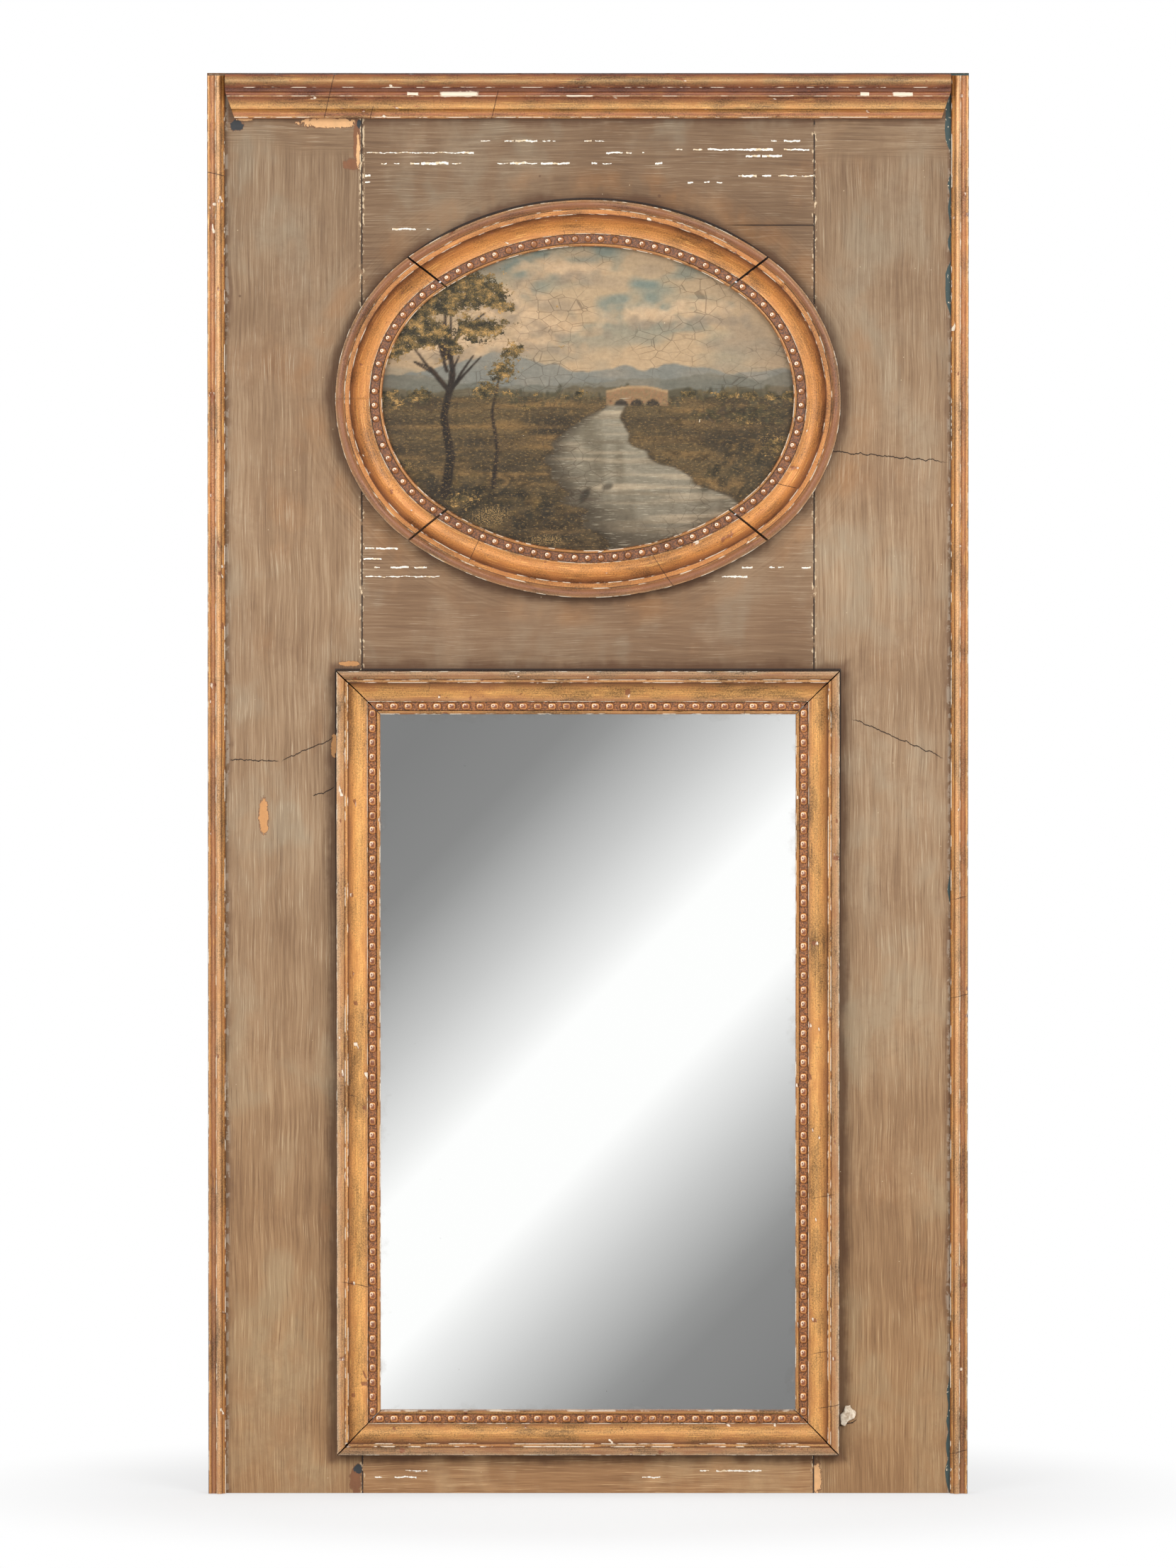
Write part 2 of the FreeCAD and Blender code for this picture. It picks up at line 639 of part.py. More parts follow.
def oval_wedge(label, outline_points):
    """A block that keeps one quarter of the oval ring, bounded by the joints through its centre."""
    face = doc.addObject("Sketcher::SketchObject", f"{label}_face")
    face.Placement.Rotation = FreeCAD.Rotation(FreeCAD.Vector(1, 0, 0), 90)
    bind(face, z=OVAL_MIDDLE)
    outline(face, [(x, y, None) for x, y in outline_points])
    wedge = doc.addObject("Part::Extrusion", label)
    wedge.Base = face
    wedge.DirMode = "Custom"
    wedge.Dir = FreeCAD.Vector(0, 1, 0)
    wedge.Solid = True
    return bind(wedge, LengthFwd="overall_width", LengthRev="overall_width")


# A joint is followed this far out from the oval's centre, well beyond the frame.
FAR = "overall_width"
JOINT_RISE = f"({FAR} * tan(oval_joint_angle))"
ABOVE = f"(3 * {FAR})"
OVAL_WEDGES = {
    "right": [("0", "0"), (FAR, f"-{JOINT_RISE}"), (FAR, JOINT_RISE)],
    "top": [("0", "0"), (FAR, JOINT_RISE), (FAR, ABOVE), (f"-{FAR}", ABOVE), (f"-{FAR}", JOINT_RISE)],
    "left": [("0", "0"), (f"-{FAR}", JOINT_RISE), (f"-{FAR}", f"-{JOINT_RISE}")],
    "bottom": [("0", "0"), (f"-{FAR}", f"-{JOINT_RISE}"), (f"-{FAR}", f"-{ABOVE}"),
               (FAR, f"-{ABOVE}"), (FAR, f"-{JOINT_RISE}")],
}


def oval_course(start_angle, end_angle):
    """Close steps (place, inward normal, length so far) along the middle of the oval's bead channel.

    Both angles are those of a line from the oval's centre. The course keeps the frame's four arcs.
    """
    inset = (value(channel("oval")[0]) + value(channel("oval")[1])) / 2
    end_sweep = value(END_SWEEP)
    arcs = (
        (-end_sweep, END_RADIUS, FreeCAD.Vector(value(END_CENTRE), 0, 0)),
        (end_sweep, WIDE_RADIUS, FreeCAD.Vector(0, 0, -value(WIDE_CENTRE))),
        (180 - end_sweep, END_RADIUS, FreeCAD.Vector(-value(END_CENTRE), 0, 0)),
        (180 + end_sweep, WIDE_RADIUS, FreeCAD.Vector(0, 0, value(WIDE_CENTRE))),
    )
    steps_per_degree = 4
    middle = (start_angle + end_angle) / 2
    course = []
    for step in range(-180 * steps_per_degree, 180 * steps_per_degree):
        direction = middle + step / steps_per_degree
        past_first = (direction + end_sweep) % 360 - end_sweep
        start, radius, centre = [arc for arc in arcs if arc[0] <= past_first + 1e-9][-1]
        outward = FreeCAD.Rotation(FreeCAD.Vector(0, -1, 0), direction).multVec(FreeCAD.Vector(1, 0, 0))
        place = centre + outward * (value(radius) - inset)
        seen = (math.degrees(math.atan2(place.z, place.x)) - middle + 180) % 360 - 180
        if abs(seen) > (end_angle - start_angle) / 2:
            continue
        length = course[-1][2] + course[-1][0].distanceToPoint(place) if course else 0
        course.append((place, outward * -1, length))
    return course


def evenly(course, count, shift):
    """count places along a course, each a share of one spacing (shift) past the start of its stretch."""
    goals = [(index + shift) * course[-1][2] / count for index in range(count + (shift == 0))]
    return [next(step for step in course if step[2] >= goal - 1e-9) for goal in goals]


def oval_bead_row(label, start_angle, end_angle):
    """A strip that follows the oval in short straight facets, with one bead on each."""
    channel_start, channel_end = channel("oval")
    half_strip = value(f"({channel_end} - {channel_start}) / 2 - strip_clearance")
    diameter = value("oval_bead_diameter")
    centre = FreeCAD.Vector(0, value(f"{FRONT} - channel_floor_height"), value(OVAL_MIDDLE))
    joints = oval_course(start_angle, end_angle)
    count = math.floor(joints[-1][2] / value("oval_bead_pitch"))
    nodes = evenly(oval_course(start_angle - OVERRUN, end_angle + OVERRUN), count + 2, 0)
    outer = [centre + place - inward * half_strip for place, inward, length in nodes]
    inner = [centre + place + inward * half_strip for place, inward, length in nodes]
    places = [(centre + place, inward) for place, inward, length in evenly(joints, count, 0.5)]
    return bead_row(label, outer + inner[::-1], places, diameter, diameter)


# Each strip is made this many degrees too long at both ends and then cut at the joints.
OVERRUN = 4
ring = oval_ring()
wedges = {side: oval_wedge(f"oval_wedge_{side}", points) for side, points in OVAL_WEDGES.items()}
oval_frame = [boolean("Common", f"oval_frame_{side}", ring, wedge) for side, wedge in wedges.items()]

joint = value("oval_joint_angle")
SPANS = {"right": (-joint, joint), "top": (joint, 180 - joint),
         "left": (180 - joint, 180 + joint), "bottom": (180 + joint, 360 - joint)}
oval_beads = [
    boolean("Common", f"oval_beads_{side}", oval_bead_row(f"oval_bead_row_{side}", *SPANS[side]), wedge)
    for side, wedge in wedges.items()
]


# ---------------------------------------------------------------- mirror plate, picture, backboards
def plain_board(label, x, y, z):
    """A board between two formulas along each axis."""
    board = doc.addObject("Part::Box", label)
    board.Label = label
    bind(board, Length=f"{x[1]} - ({x[0]})", Width=f"{y[1]} - ({y[0]})", Height=f"{z[1]} - ({z[0]})")
    return bind(board, x=x[0], y=y[0], z=z[0])


def backboard(label, index, count):
    """One of the upright planks that close the back of the mirror's opening, nailed to the rails."""
    pitch = f"((opening_width - backboard_gap) / {count})"
    left = f"-{HALF_OPENING} + backboard_gap + {pitch} * {index}"
    return plain_board(
        label,
        (left, f"{left} + {pitch} - backboard_gap"),
        (RAIL_BACK, f"{RAIL_BACK} + backboard_thickness"),
        (f"{OPENING_BOTTOM} - backboard_lap", f"{OPENING_TOP} + backboard_lap"),
    )


def glass_block(label, turn, x, z):
    """A triangular block glued to a wall of the opening, its other face on the back of the mirror plate."""
    body = new_body(label)
    depth = f"{RAIL_BACK} - {GLASS_BACK}"
    section = [("0", "0", None), ("block_width", "0", None), ("0", depth, None)]
    pad(body, body_sketch(body, "XY_Plane", section), "block_length", both_ways=True)
    body.Placement.Rotation = FreeCAD.Rotation(FreeCAD.Vector(0, 1, 0), turn)
    return bind(body, x=x, y=GLASS_BACK, z=z)


def picture_block(label, turn, x, z):
    """A small block behind the picture's edge, its outer face in line with that edge."""
    body = new_body(label)
    section = rectangle("0", "0", "block_width", "picture_block_depth")
    pad(body, body_sketch(body, "XY_Plane", section), "picture_block_length", both_ways=True)
    body.Placement.Rotation = FreeCAD.Rotation(FreeCAD.Vector(0, 1, 0), turn)
    return bind(body, x=x, y=PICTURE_BACK, z=z)


mirror_glass = plain_board(
    "mirror_glass",
    (f"-{HALF_GLASS_WIDTH}", HALF_GLASS_WIDTH),
    (FRONT, GLASS_BACK),
    (f"{MIRROR_MIDDLE} - {HALF_GLASS_HEIGHT}", f"{MIRROR_MIDDLE} + {HALF_GLASS_HEIGHT}"),
)
painted_panel = oval_prism("painted_panel", PICTURE_HALF_WIDTH, PICTURE_HALF_HEIGHT, FRONT, PICTURE_BACK)
PLANKS = ("left", "middle", "right")
backboards = [backboard(f"backboard_{plank}", index, len(PLANKS)) for index, plank in enumerate(PLANKS)]

quarter_width = f"{HALF_GLASS_WIDTH} / 2"
quarter_height = f"{HALF_GLASS_HEIGHT} / 2"
glass_blocks = [
    glass_block("glass_block_left_lower", 0, f"-{HALF_OPENING}", f"{MIRROR_MIDDLE} - {quarter_height}"),
    glass_block("glass_block_left_upper", 0, f"-{HALF_OPENING}", f"{MIRROR_MIDDLE} + {quarter_height}"),
    glass_block("glass_block_right_lower", 180, HALF_OPENING, f"{MIRROR_MIDDLE} - {quarter_height}"),
    glass_block("glass_block_right_upper", 180, HALF_OPENING, f"{MIRROR_MIDDLE} + {quarter_height}"),
    glass_block("glass_block_bottom_left", 270, f"-{quarter_width}", OPENING_BOTTOM),
    glass_block("glass_block_bottom_right", 270, quarter_width, OPENING_BOTTOM),
    glass_block("glass_block_top_left", 90, f"-{quarter_width}", OPENING_TOP),
    glass_block("glass_block_top_right", 90, quarter_width, OPENING_TOP),
]
picture_blocks = [
    picture_block("picture_block_left", 0, f"-{PICTURE_HALF_WIDTH}", OVAL_MIDDLE),
    picture_block("picture_block_right", 180, PICTURE_HALF_WIDTH, OVAL_MIDDLE),
    picture_block("picture_block_bottom", 270, "0", f"{OVAL_MIDDLE} - {PICTURE_HALF_HEIGHT}"),
    picture_block("picture_block_top", 90, "0", f"{OVAL_MIDDLE} + {PICTURE_HALF_HEIGHT}"),
]


# ---------------------------------------------------------------- hangers
def circle(sketch, x, y, radius):
    index = sketch.addGeometry(
        Part.Circle(FreeCAD.Vector(value(x), value(y), 0), FreeCAD.Vector(0, 0, 1), value(radius)), False)
    for kind, text in (("DistanceX", x), ("DistanceY", y)):
        number = sketch.addConstraint(Sketcher.Constraint(kind, -1, 1, index, 3, value(text)))
        sketch.setExpression(f"Constraints[{number}]", formula(text))
    number = sketch.addConstraint(Sketcher.Constraint("Radius", index, value(radius)))
    sketch.setExpression(f"Constraints[{number}]", formula(radius))


def hanger_strap(label, x):
    """A folded metal strap: a plate with two screw holes, rolled into a barrel round the ring's bar.

    In its own place the plate lies on Y = 0 above the barrel, whose axis is along X through Z = 0.
    """
    body = new_body(label)
    across = ("-strap_width / 2", "strap_width / 2")
    block_feature(body, "Additive", across, ("0", "strap_thickness"), ("0", "strap_length"))
    barrel = body_sketch(body, "YZ_Plane", [])
    circle(barrel, BARREL_OUTER, "0", BARREL_OUTER)
    pad(body, barrel, "strap_width", both_ways=True)
    bore = body_sketch(body, "YZ_Plane", [])
    circle(bore, BARREL_OUTER, "0", BARREL_BORE)
    through_pocket(body, bore)
    holes = body_sketch(body, "XZ_Plane", [])
    holes_middle = f"(strap_length / 2 + {BARREL_OUTER})"
    for side in ("-", "+"):
        circle(holes, "0", f"{holes_middle} {side} strap_hole_spacing / 2", "strap_hole_diameter / 2")
    through_pocket(body, holes)
    return bind(body, x=x, y=RAIL_BACK, z=f"{TOP_RAIL_BOTTOM} + hanger_height")


def d_outline(half, top, corner):
    """A D lying on its back: a bar along the top, rounded corners, two legs and a round bow below.

    The bar's middle line is on Z = 0.
    """
    leg_top = f"{top} - {corner}"
    leg_foot = "-ring_leg_length"
    return [
        (f"-{half} + {corner}", top, None),
        (f"{half} - {corner}", top, f"{corner}"),
        (half, leg_top, None),
        (half, leg_foot, half),
        ("0", f"{leg_foot} - {half}", half),
        (f"-{half}", leg_foot, None),
        (f"-{half}", leg_top, f"{corner}"),
    ]


def hanger_ring(label, x):
    """A flat D ring that hangs from its straight bar in the strap's barrel."""
    body = new_body(label)
    outer = d_outline("(ring_width / 2)", "(ring_bar_width / 2)", "ring_corner_radius")
    inner = d_outline("(ring_width / 2 - ring_bar_width)", "(-ring_bar_width / 2)", "ring_inner_radius")
    pad(body, body_sketch(body, "XZ_Plane", outer), "ring_thickness", both_ways=True)
    through_pocket(body, body_sketch(body, "XZ_Plane", inner))
    return bind(body, x=x, y=f"{RAIL_BACK} + {BARREL_OUTER}", z=f"{TOP_RAIL_BOTTOM} + hanger_height")


straps, rings = [], []
for hand, side in (("left", "-"), ("right", "")):
    place = f"{side}hanger_spacing / 2"
    straps.append(hanger_strap(f"{hand}_hanger_strap", place))
    rings.append(hanger_ring(f"{hand}_hanger_ring", place))

# ---------------------------------------------------------------- checks and files
doc.recompute()
sub_parts = [
    left_stile, right_stile, top_rail, middle_rail, bottom_rail, surround_upper, surround_lower,
    left_edge, right_edge, top_moulding, *oval_frame, *oval_beads, painted_panel, *picture_blocks,
    *mirror_frame, *mirror_beads, mirror_glass, *glass_blocks, *backboards, *straps, *rings,
]
for item in doc.Objects:
    if "Invalid" in item.State or "Error" in item.State:
        raise RuntimeError(f"{item.Label} failed: {item.State}")
for piece in sub_parts:
    if piece.Shape.isNull() or not piece.Shape.isValid() or not piece.Shape.Solids:
        raise RuntimeError(f"{piece.Label} has no valid solid")

os.makedirs("parts", exist_ok=True)
for piece in sub_parts:
    piece.Shape.exportStep(f"parts/{piece.Label}.step")
    print(f"{piece.Label:26s} {len(piece.Shape.Solids)} solid(s), {piece.Shape.Volume / 1000:9.2f} cm3")
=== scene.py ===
"""Looks of a trumeau mirror: a painted panel with an oval picture above a mirror plate, both in gilt frames.

Metres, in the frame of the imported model: +X to the right, +Z up, the front faces -Y.
"""

import math

import bpy
import numpy as np
from mathutils import Matrix, Vector


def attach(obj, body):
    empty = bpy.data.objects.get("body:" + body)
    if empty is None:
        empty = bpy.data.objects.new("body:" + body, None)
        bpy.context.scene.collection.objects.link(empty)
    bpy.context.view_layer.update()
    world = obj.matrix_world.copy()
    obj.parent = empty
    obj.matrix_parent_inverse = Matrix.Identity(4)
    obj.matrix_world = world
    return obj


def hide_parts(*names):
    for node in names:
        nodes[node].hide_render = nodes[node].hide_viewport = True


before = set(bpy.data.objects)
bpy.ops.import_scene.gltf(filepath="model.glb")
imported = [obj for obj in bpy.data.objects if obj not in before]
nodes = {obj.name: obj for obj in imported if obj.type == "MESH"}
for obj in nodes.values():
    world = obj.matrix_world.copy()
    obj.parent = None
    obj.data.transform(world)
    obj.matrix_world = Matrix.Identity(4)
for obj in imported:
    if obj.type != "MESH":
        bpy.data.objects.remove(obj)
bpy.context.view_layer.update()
scene = bpy.context.scene


# ---------------------------------------------------------------- stiles
# The two side boards are solid wood, planed, primed with gesso and painted a taupe distemper whose brush
# marks run up and down. They hold the rails in mortises. Years of dusting have left dark dirt along the
# mouldings, hair cracks at the joints and small losses that show the white gesso. Painted shade darkens the
# paint along the mouldings and towards the top, and a painted shadow lies above the frames' tops.
def linear(shown):
    """Levels as they look on a screen, 0 to 255, as the linear levels that a shader takes."""
    levels = np.asarray(shown, float) / 255
    return np.where(levels > 0.04, ((levels + 0.055) / 1.055) ** 2.4, levels / 12.92)


def tint(colour):
    """A colour of three screen levels made linear. One of four is linear already and a Level stays."""
    return (*linear(colour), 1) if isinstance(colour, tuple) and len(colour) == 3 else colour


class Level:
    """A socket that can be used in sums: each sum adds a Math node to the same finish."""

    def __init__(self, finish, socket):
        self.finish = finish
        self.socket = socket

    def maths(self, operation, *inputs):
        return self.finish.node("ShaderNodeMath", {"operation": operation}, dict(enumerate(inputs)))

    def __rsub__(self, other):
        return self.maths("SUBTRACT", other, self)

    def __abs__(self):
        return self.maths("ABSOLUTE", self)


SUMS = {"__add__": "ADD", "__radd__": "ADD", "__sub__": "SUBTRACT", "__mul__": "MULTIPLY",
        "__rmul__": "MULTIPLY", "__truediv__": "DIVIDE", "__pow__": "POWER", "least": "MINIMUM",
        "most": "MAXIMUM"}
for method, operation in SUMS.items():
    setattr(Level, method, lambda level, other, kind=operation: level.maths(kind, level, other))


class Finish:
    """A node material in the making, or the nodes of the world that is given."""

    def __init__(self, name, world=None):
        self.material = world or bpy.data.materials.new(name)
        self.material.use_nodes = True
        self.tree = self.material.node_tree
        self.shader = self.tree.nodes["Background" if world else "Principled BSDF"]
        self.place = self.node("ShaderNodeTexCoord", output="Object")

    def node(self, kind, settings=None, inputs=None, output=0):
        made = self.tree.nodes.new(kind)
        for setting, choice in (settings or {}).items():
            if setting == "steps":
                made.color_ramp.interpolation = "CONSTANT"
            elif setting == "stops":
                for index, (position, colour) in enumerate(choice):
                    stops = made.color_ramp.elements
                    stop = stops[index] if index < 2 else stops.new(position)
                    stop.position, stop.color = position, tint(colour)
            else:
                setattr(made, setting, choice)
        for name, level in (inputs or {}).items():
            self.feed(made.inputs[name], level)
        return Level(self, made.outputs[output])

    def feed(self, socket, level):
        """Links a Level to the socket, or sets a constant on it."""
        if isinstance(level, Level):
            self.tree.links.new(level.socket, socket)
        else:
            socket.default_value = level

    def stretched(self, *scales, place=None):
        """The place on the object, each axis multiplied: a large number makes a pattern short along it."""
        inputs = {0: place or self.place, 1: scales}
        return self.node("ShaderNodeVectorMath", {"operation": "MULTIPLY"}, inputs)

    def axes(self):
        split = self.node("ShaderNodeSeparateXYZ", inputs={"Vector": self.place})
        outputs = split.socket.node.outputs
        return [Level(self, outputs[name]) for name in ("X", "Y", "Z")]

    def joined(self, x, y, z):
        return self.node("ShaderNodeCombineXYZ", inputs={"X": x, "Y": y, "Z": z})

    def noise(self, place, detail=3, roughness=0.55):
        inputs = {"Vector": place, "Scale": 1, "Detail": detail, "Roughness": roughness}
        return self.node("ShaderNodeTexNoise", inputs=inputs)

    def clouds(self, *scales, place=None, **settings):
        return self.noise(self.stretched(*scales, place=place), **settings)

    def cells(self, *scales, feature="F1"):
        return self.node("ShaderNodeTexVoronoi", {"feature": feature},
                         {"Vector": self.stretched(*scales), "Scale": 1})

    def band(self, level, low, high):
        """0 below low, 1 above high, and smooth between; with low above high it falls instead."""
        inputs = {"Value": level, "From Min": low, "From Max": high}
        return self.node("ShaderNodeMapRange", {"interpolation_type": "SMOOTHSTEP"}, inputs)

    def mix(self, share, first, second, blend="MIX"):
        settings = {"data_type": "RGBA", "blend_type": blend}
        return self.node("ShaderNodeMix", settings, {0: share, 6: tint(first), 7: tint(second)}, output=2)

    def coat(self, colour, shown, level, low, high, share=None):
        """The colour with another laid over it as the level goes from low to high."""
        cover = self.band(level, low, high)
        return self.mix(cover if share is None else cover * share, colour, shown)

    def ramp(self, level, stops):
        return self.node("ShaderNodeValToRGB", {"stops": stops}, {"Fac": level})

    def shade(self, colour, level):
        """The colour made lighter or darker by a level around 1."""
        return self.mix(1, colour, self.joined(level, level, level), blend="MULTIPLY")

    def attribute(self, name):
        return self.node("ShaderNodeAttribute", {"attribute_name": name}, output="Fac")

    def bump(self, height, distance, strength):
        inputs = {"Height": height, "Distance": distance, "Strength": strength}
        return self.node("ShaderNodeBump", inputs=inputs, output="Normal")

    def seen_by(self, *kinds):
        """1 for the rays of these kinds, 0 for all others."""
        rays = [self.node("ShaderNodeLightPath", output=f"Is {kind} Ray") for kind in kinds]
        for ray in rays[1:]:
            rays[0] = rays[0].most(ray)
        return rays[0]

    def finish(self, **inputs):
        """Feeds the shader: names with _ for a space, such as Base_Color."""
        for name, level in inputs.items():
            self.feed(self.shader.inputs[name.replace("_", " ")], level)
        return self.material

    def blend(self, share, first, second):
        """Shows a mix of two shaders in place of the finish's own."""
        shown = self.node("ShaderNodeMixShader", inputs={0: share, 1: first, 2: second}, output="Shader")
        self.tree.links.new(shown.socket, self.tree.nodes["Material Output"].inputs["Surface"])
        return self.material


def dress(piece, material):
    piece.data.materials.clear()
    piece.data.materials.append(material)
    for face in piece.data.polygons:
        face.material_index = 0


MM = 0.001
FRONT = 0.002
PANEL_HALF = 0.361
PANEL_HEIGHT = 1.350
OPENING_HALF = 0.2145
TOP_RAIL_FOOT = 1.206
EDGE_INNER = 0.344
CORNICE_FOOT = 1.307
OVAL_CENTRE = 1.042
OVAL_HALF = (0.240, 0.189)
MIRROR_HALF = (0.239, 0.37325)
MIRROR_MIDDLE = 0.41075
RAIL_SPAN = 440


def grey(level):
    """A number from 0 to 1 as a ramp's colour."""
    return (level, level, level, 1)


def panel_paint(name, level_strokes, losses=(), patches=(), cracks=(), scallops=()):
    """Old paint on the front face, bare dark wood on the other faces of the board. Lists are in millimetres.

    level_strokes tells whether the brush went across, as on the rails, or up and down. losses holds rows of
    flaked lines (height, then start, end and thickness of each), patches holds larger losses (x, z, half
    width, half height, colour), cracks holds (x, z, x, z), and scallops holds (height, depth) of the bites
    beside the right moulding.
    """
    paint = Finish(name)
    x, y, z = paint.axes()
    side = abs(x)
    oval_across = x / OVAL_HALF[0]
    oval_up = (z - OVAL_CENTRE) / OVAL_HALF[1]
    oval_reach = (oval_across * oval_across + oval_up * oval_up) ** 0.5
    from_oval = (oval_reach - 1) * 0.212
    from_mirror = (side - MIRROR_HALF[0]).most(abs(z - MIRROR_MIDDLE) - MIRROR_HALF[1])

    drift = paint.clouds(9, 1, 9, detail=2)
    bent_x, bent_z = x + (drift - 0.5) * 0.009, z + (drift - 0.5) * 0.009

    def brushed(fine, long):
        if level_strokes:
            return paint.noise(paint.joined(x * long, 0, bent_z * fine), roughness=0.65)
        upright = paint.noise(paint.joined(bent_x * fine, 0, z * long), roughness=0.65)
        level = paint.noise(paint.joined(x * long, 0, bent_z * fine), roughness=0.65)
        return upright + (level - upright) * paint.band(z + (drift - 0.5) * 0.06, 1.268, 1.282)

    oval_turn = oval_up.maths("ARCTAN2", oval_up, oval_across)
    rounds = paint.joined(oval_reach * 95, oval_turn * 4, drift * 6)
    round_marks = paint.noise(rounds, detail=4, roughness=0.65)
    nearness = paint.band(from_oval + (drift - 0.5) * 0.05, 0.05, 0.015)
    broad = brushed(130, 2.6)
    marks = brushed(460, 9)
    marks = marks + (round_marks - marks) * (nearness * 0.8)
    hairs = brushed(1200, 22)
    clouds = paint.clouds(9, 1, 6)
    spread = paint.clouds(26, 1, 19)
    fine_spread = paint.clouds(110, 1, 110, roughness=0.65)

    tone = paint.band(marks * 0.42 + broad * 0.28 + clouds * 0.45 + hairs * 0.5, 0.56, 1.10)
    low, middle, high = (116, 86, 58), (152, 122, 91), (184, 158, 127)
    if level_strokes:
        low, middle, high = (106, 77, 51), (136, 106, 77), (166, 139, 109)
    colour = paint.ramp(tone, [(0, low), (1, high), (0.5, middle)])
    colour = paint.coat(colour, (150, 138, 116), clouds * 0.6 + spread * 0.5, 0.52, 0.68, 0.5)
    colour = paint.coat(colour, (168, 118, 72), spread * 0.7 + drift * 0.4, 0.56, 0.74, 0.3)
    colour = paint.coat(colour, (124, 92, 66), drift * 0.6 + fine_spread * 0.5, 0.56, 0.70, 0.22)
    colour = paint.coat(colour, (196, 176, 148), hairs + (spread - 0.5) * 0.3, 0.60, 0.68, 0.5)
    colour = paint.coat(colour, (104, 76, 52), hairs + (marks - 0.5) * 0.3, 0.38, 0.31, 0.55)
    # Lighter near the foot of the bottom rail; darker towards the top as painted shade.
    lighter = paint.band(z, 0.09, 0.0) * (0.42 if level_strokes else 0.0)
    colour = paint.shade(colour, 1.0 + lighter - paint.band(z, 0.92, 1.22) * 0.21)
    colour = paint.mix(paint.band(z, 0.75, 0.05), colour, (1.0, 0.88, 0.70, 1), blend="MULTIPLY")
    darker = paint.band(abs(z - 0.818), 0.07, 0.03) * (0.3 if level_strokes else 0.06)
    colour = paint.mix(darker, colour, (112, 80, 54))
    glow = paint.band(abs(from_oval - 0.016), 0.024, 0.004) * paint.band(spread, 0.36, 0.66) * 0.34
    colour = paint.mix(glow, colour, (160, 108, 58))

    # Dark bands along the frames and mouldings: dirt, and painted shade where the frames stand off the board.
    wander = (spread - 0.5) * 0.022 + (fine_spread - 0.5) * 0.006
    dirt_and_shade = paint.band(from_mirror + wander, 0.011, 0.001).most(paint.band(from_oval + wander, 0.010, 0.0))
    dirt_and_shade = dirt_and_shade.most(paint.band(EDGE_INNER - side + wander, 0.007, 0.0) * 0.7)
    dirt_and_shade = dirt_and_shade.most(paint.band(CORNICE_FOOT - z + wander, 0.008, 0.0) * 0.75)
    colour = paint.mix(dirt_and_shade * 0.7, colour, (88, 54, 30))
    # A near-black painted shadow just above the tops of the mirror frame and of the oval frame.
    shadow_above_mirror = paint.band(from_mirror, 0.0016, 0.0008) * paint.band(z, MIRROR_MIDDLE, MIRROR_MIDDLE + 0.3)
    shadow_above_oval = paint.band(from_oval, 0.0016, 0.0008) * paint.band(oval_up, 0.2, 0.7)
    colour = paint.mix(shadow_above_mirror.most(shadow_above_oval) * 0.9, colour, (34, 22, 16))
    pale_dust = paint.band(EDGE_INNER - side + wander * 0.4, 0.004, 0.001)
    pale_dust = pale_dust * paint.band(fine_spread, 0.48, 0.56)
    colour = paint.mix(pale_dust * 0.5, colour, (186, 170, 150))

    from_joint = abs(side - OPENING_HALF)
    from_level_joint = abs(z - TOP_RAIL_FOOT) + paint.band(side, OPENING_HALF, OPENING_HALF + 0.001)
    joint_wander = paint.clouds(1, 1, 60, detail=2)
    crack = paint.band(from_joint, 0.0010, 0.0003) * paint.band(joint_wander, 0.34, 0.44)
    crack = crack.most(paint.band(from_level_joint, 0.0008, 0.0002) * paint.band(x, 0.12, 0.16))
    ragged = paint.clouds(420, 1, 200)
    left_head = paint.band(x, 0.0, -0.01) * paint.band(z, 1.19, 1.24) * 0.1
    loss = paint.band(from_joint, 0.0035, 0.0008) * paint.band(ragged + left_head, 0.56, 0.60)
    colour = paint.mix(loss, colour, (222, 196, 160))

    wobble = (paint.noise(paint.joined(x * 90, 0, 0)) - 0.5) * 0.004
    edge_wobble = (ragged - 0.5) * 0.0022
    flaked = None
    for height, lines in losses:
        stops = [(0, grey(0)), (1, grey(0))]
        for start, end, thickness in lines:
            stops += [((start + RAIL_SPAN / 2) / RAIL_SPAN, grey(thickness / 4)),
                      ((end + RAIL_SPAN / 2) / RAIL_SPAN, grey(0))]
        reach = paint.node("ShaderNodeValToRGB", {"steps": True, "stops": stops},
                           {"Fac": x / (RAIL_SPAN * MM) + 0.5})
        off_line = abs(z - height * MM + wobble)
        line = paint.band(reach * 0.0017 - off_line + edge_wobble * (reach * 4).least(1), 0, 0.0003)
        flaked = line if flaked is None else flaked.most(line)
    if flaked is not None:
        gesso = paint.mix(paint.band(fine_spread, 0.5, 0.6), (246, 240, 228), (228, 204, 168))
        colour = paint.mix(flaked, colour, gesso)

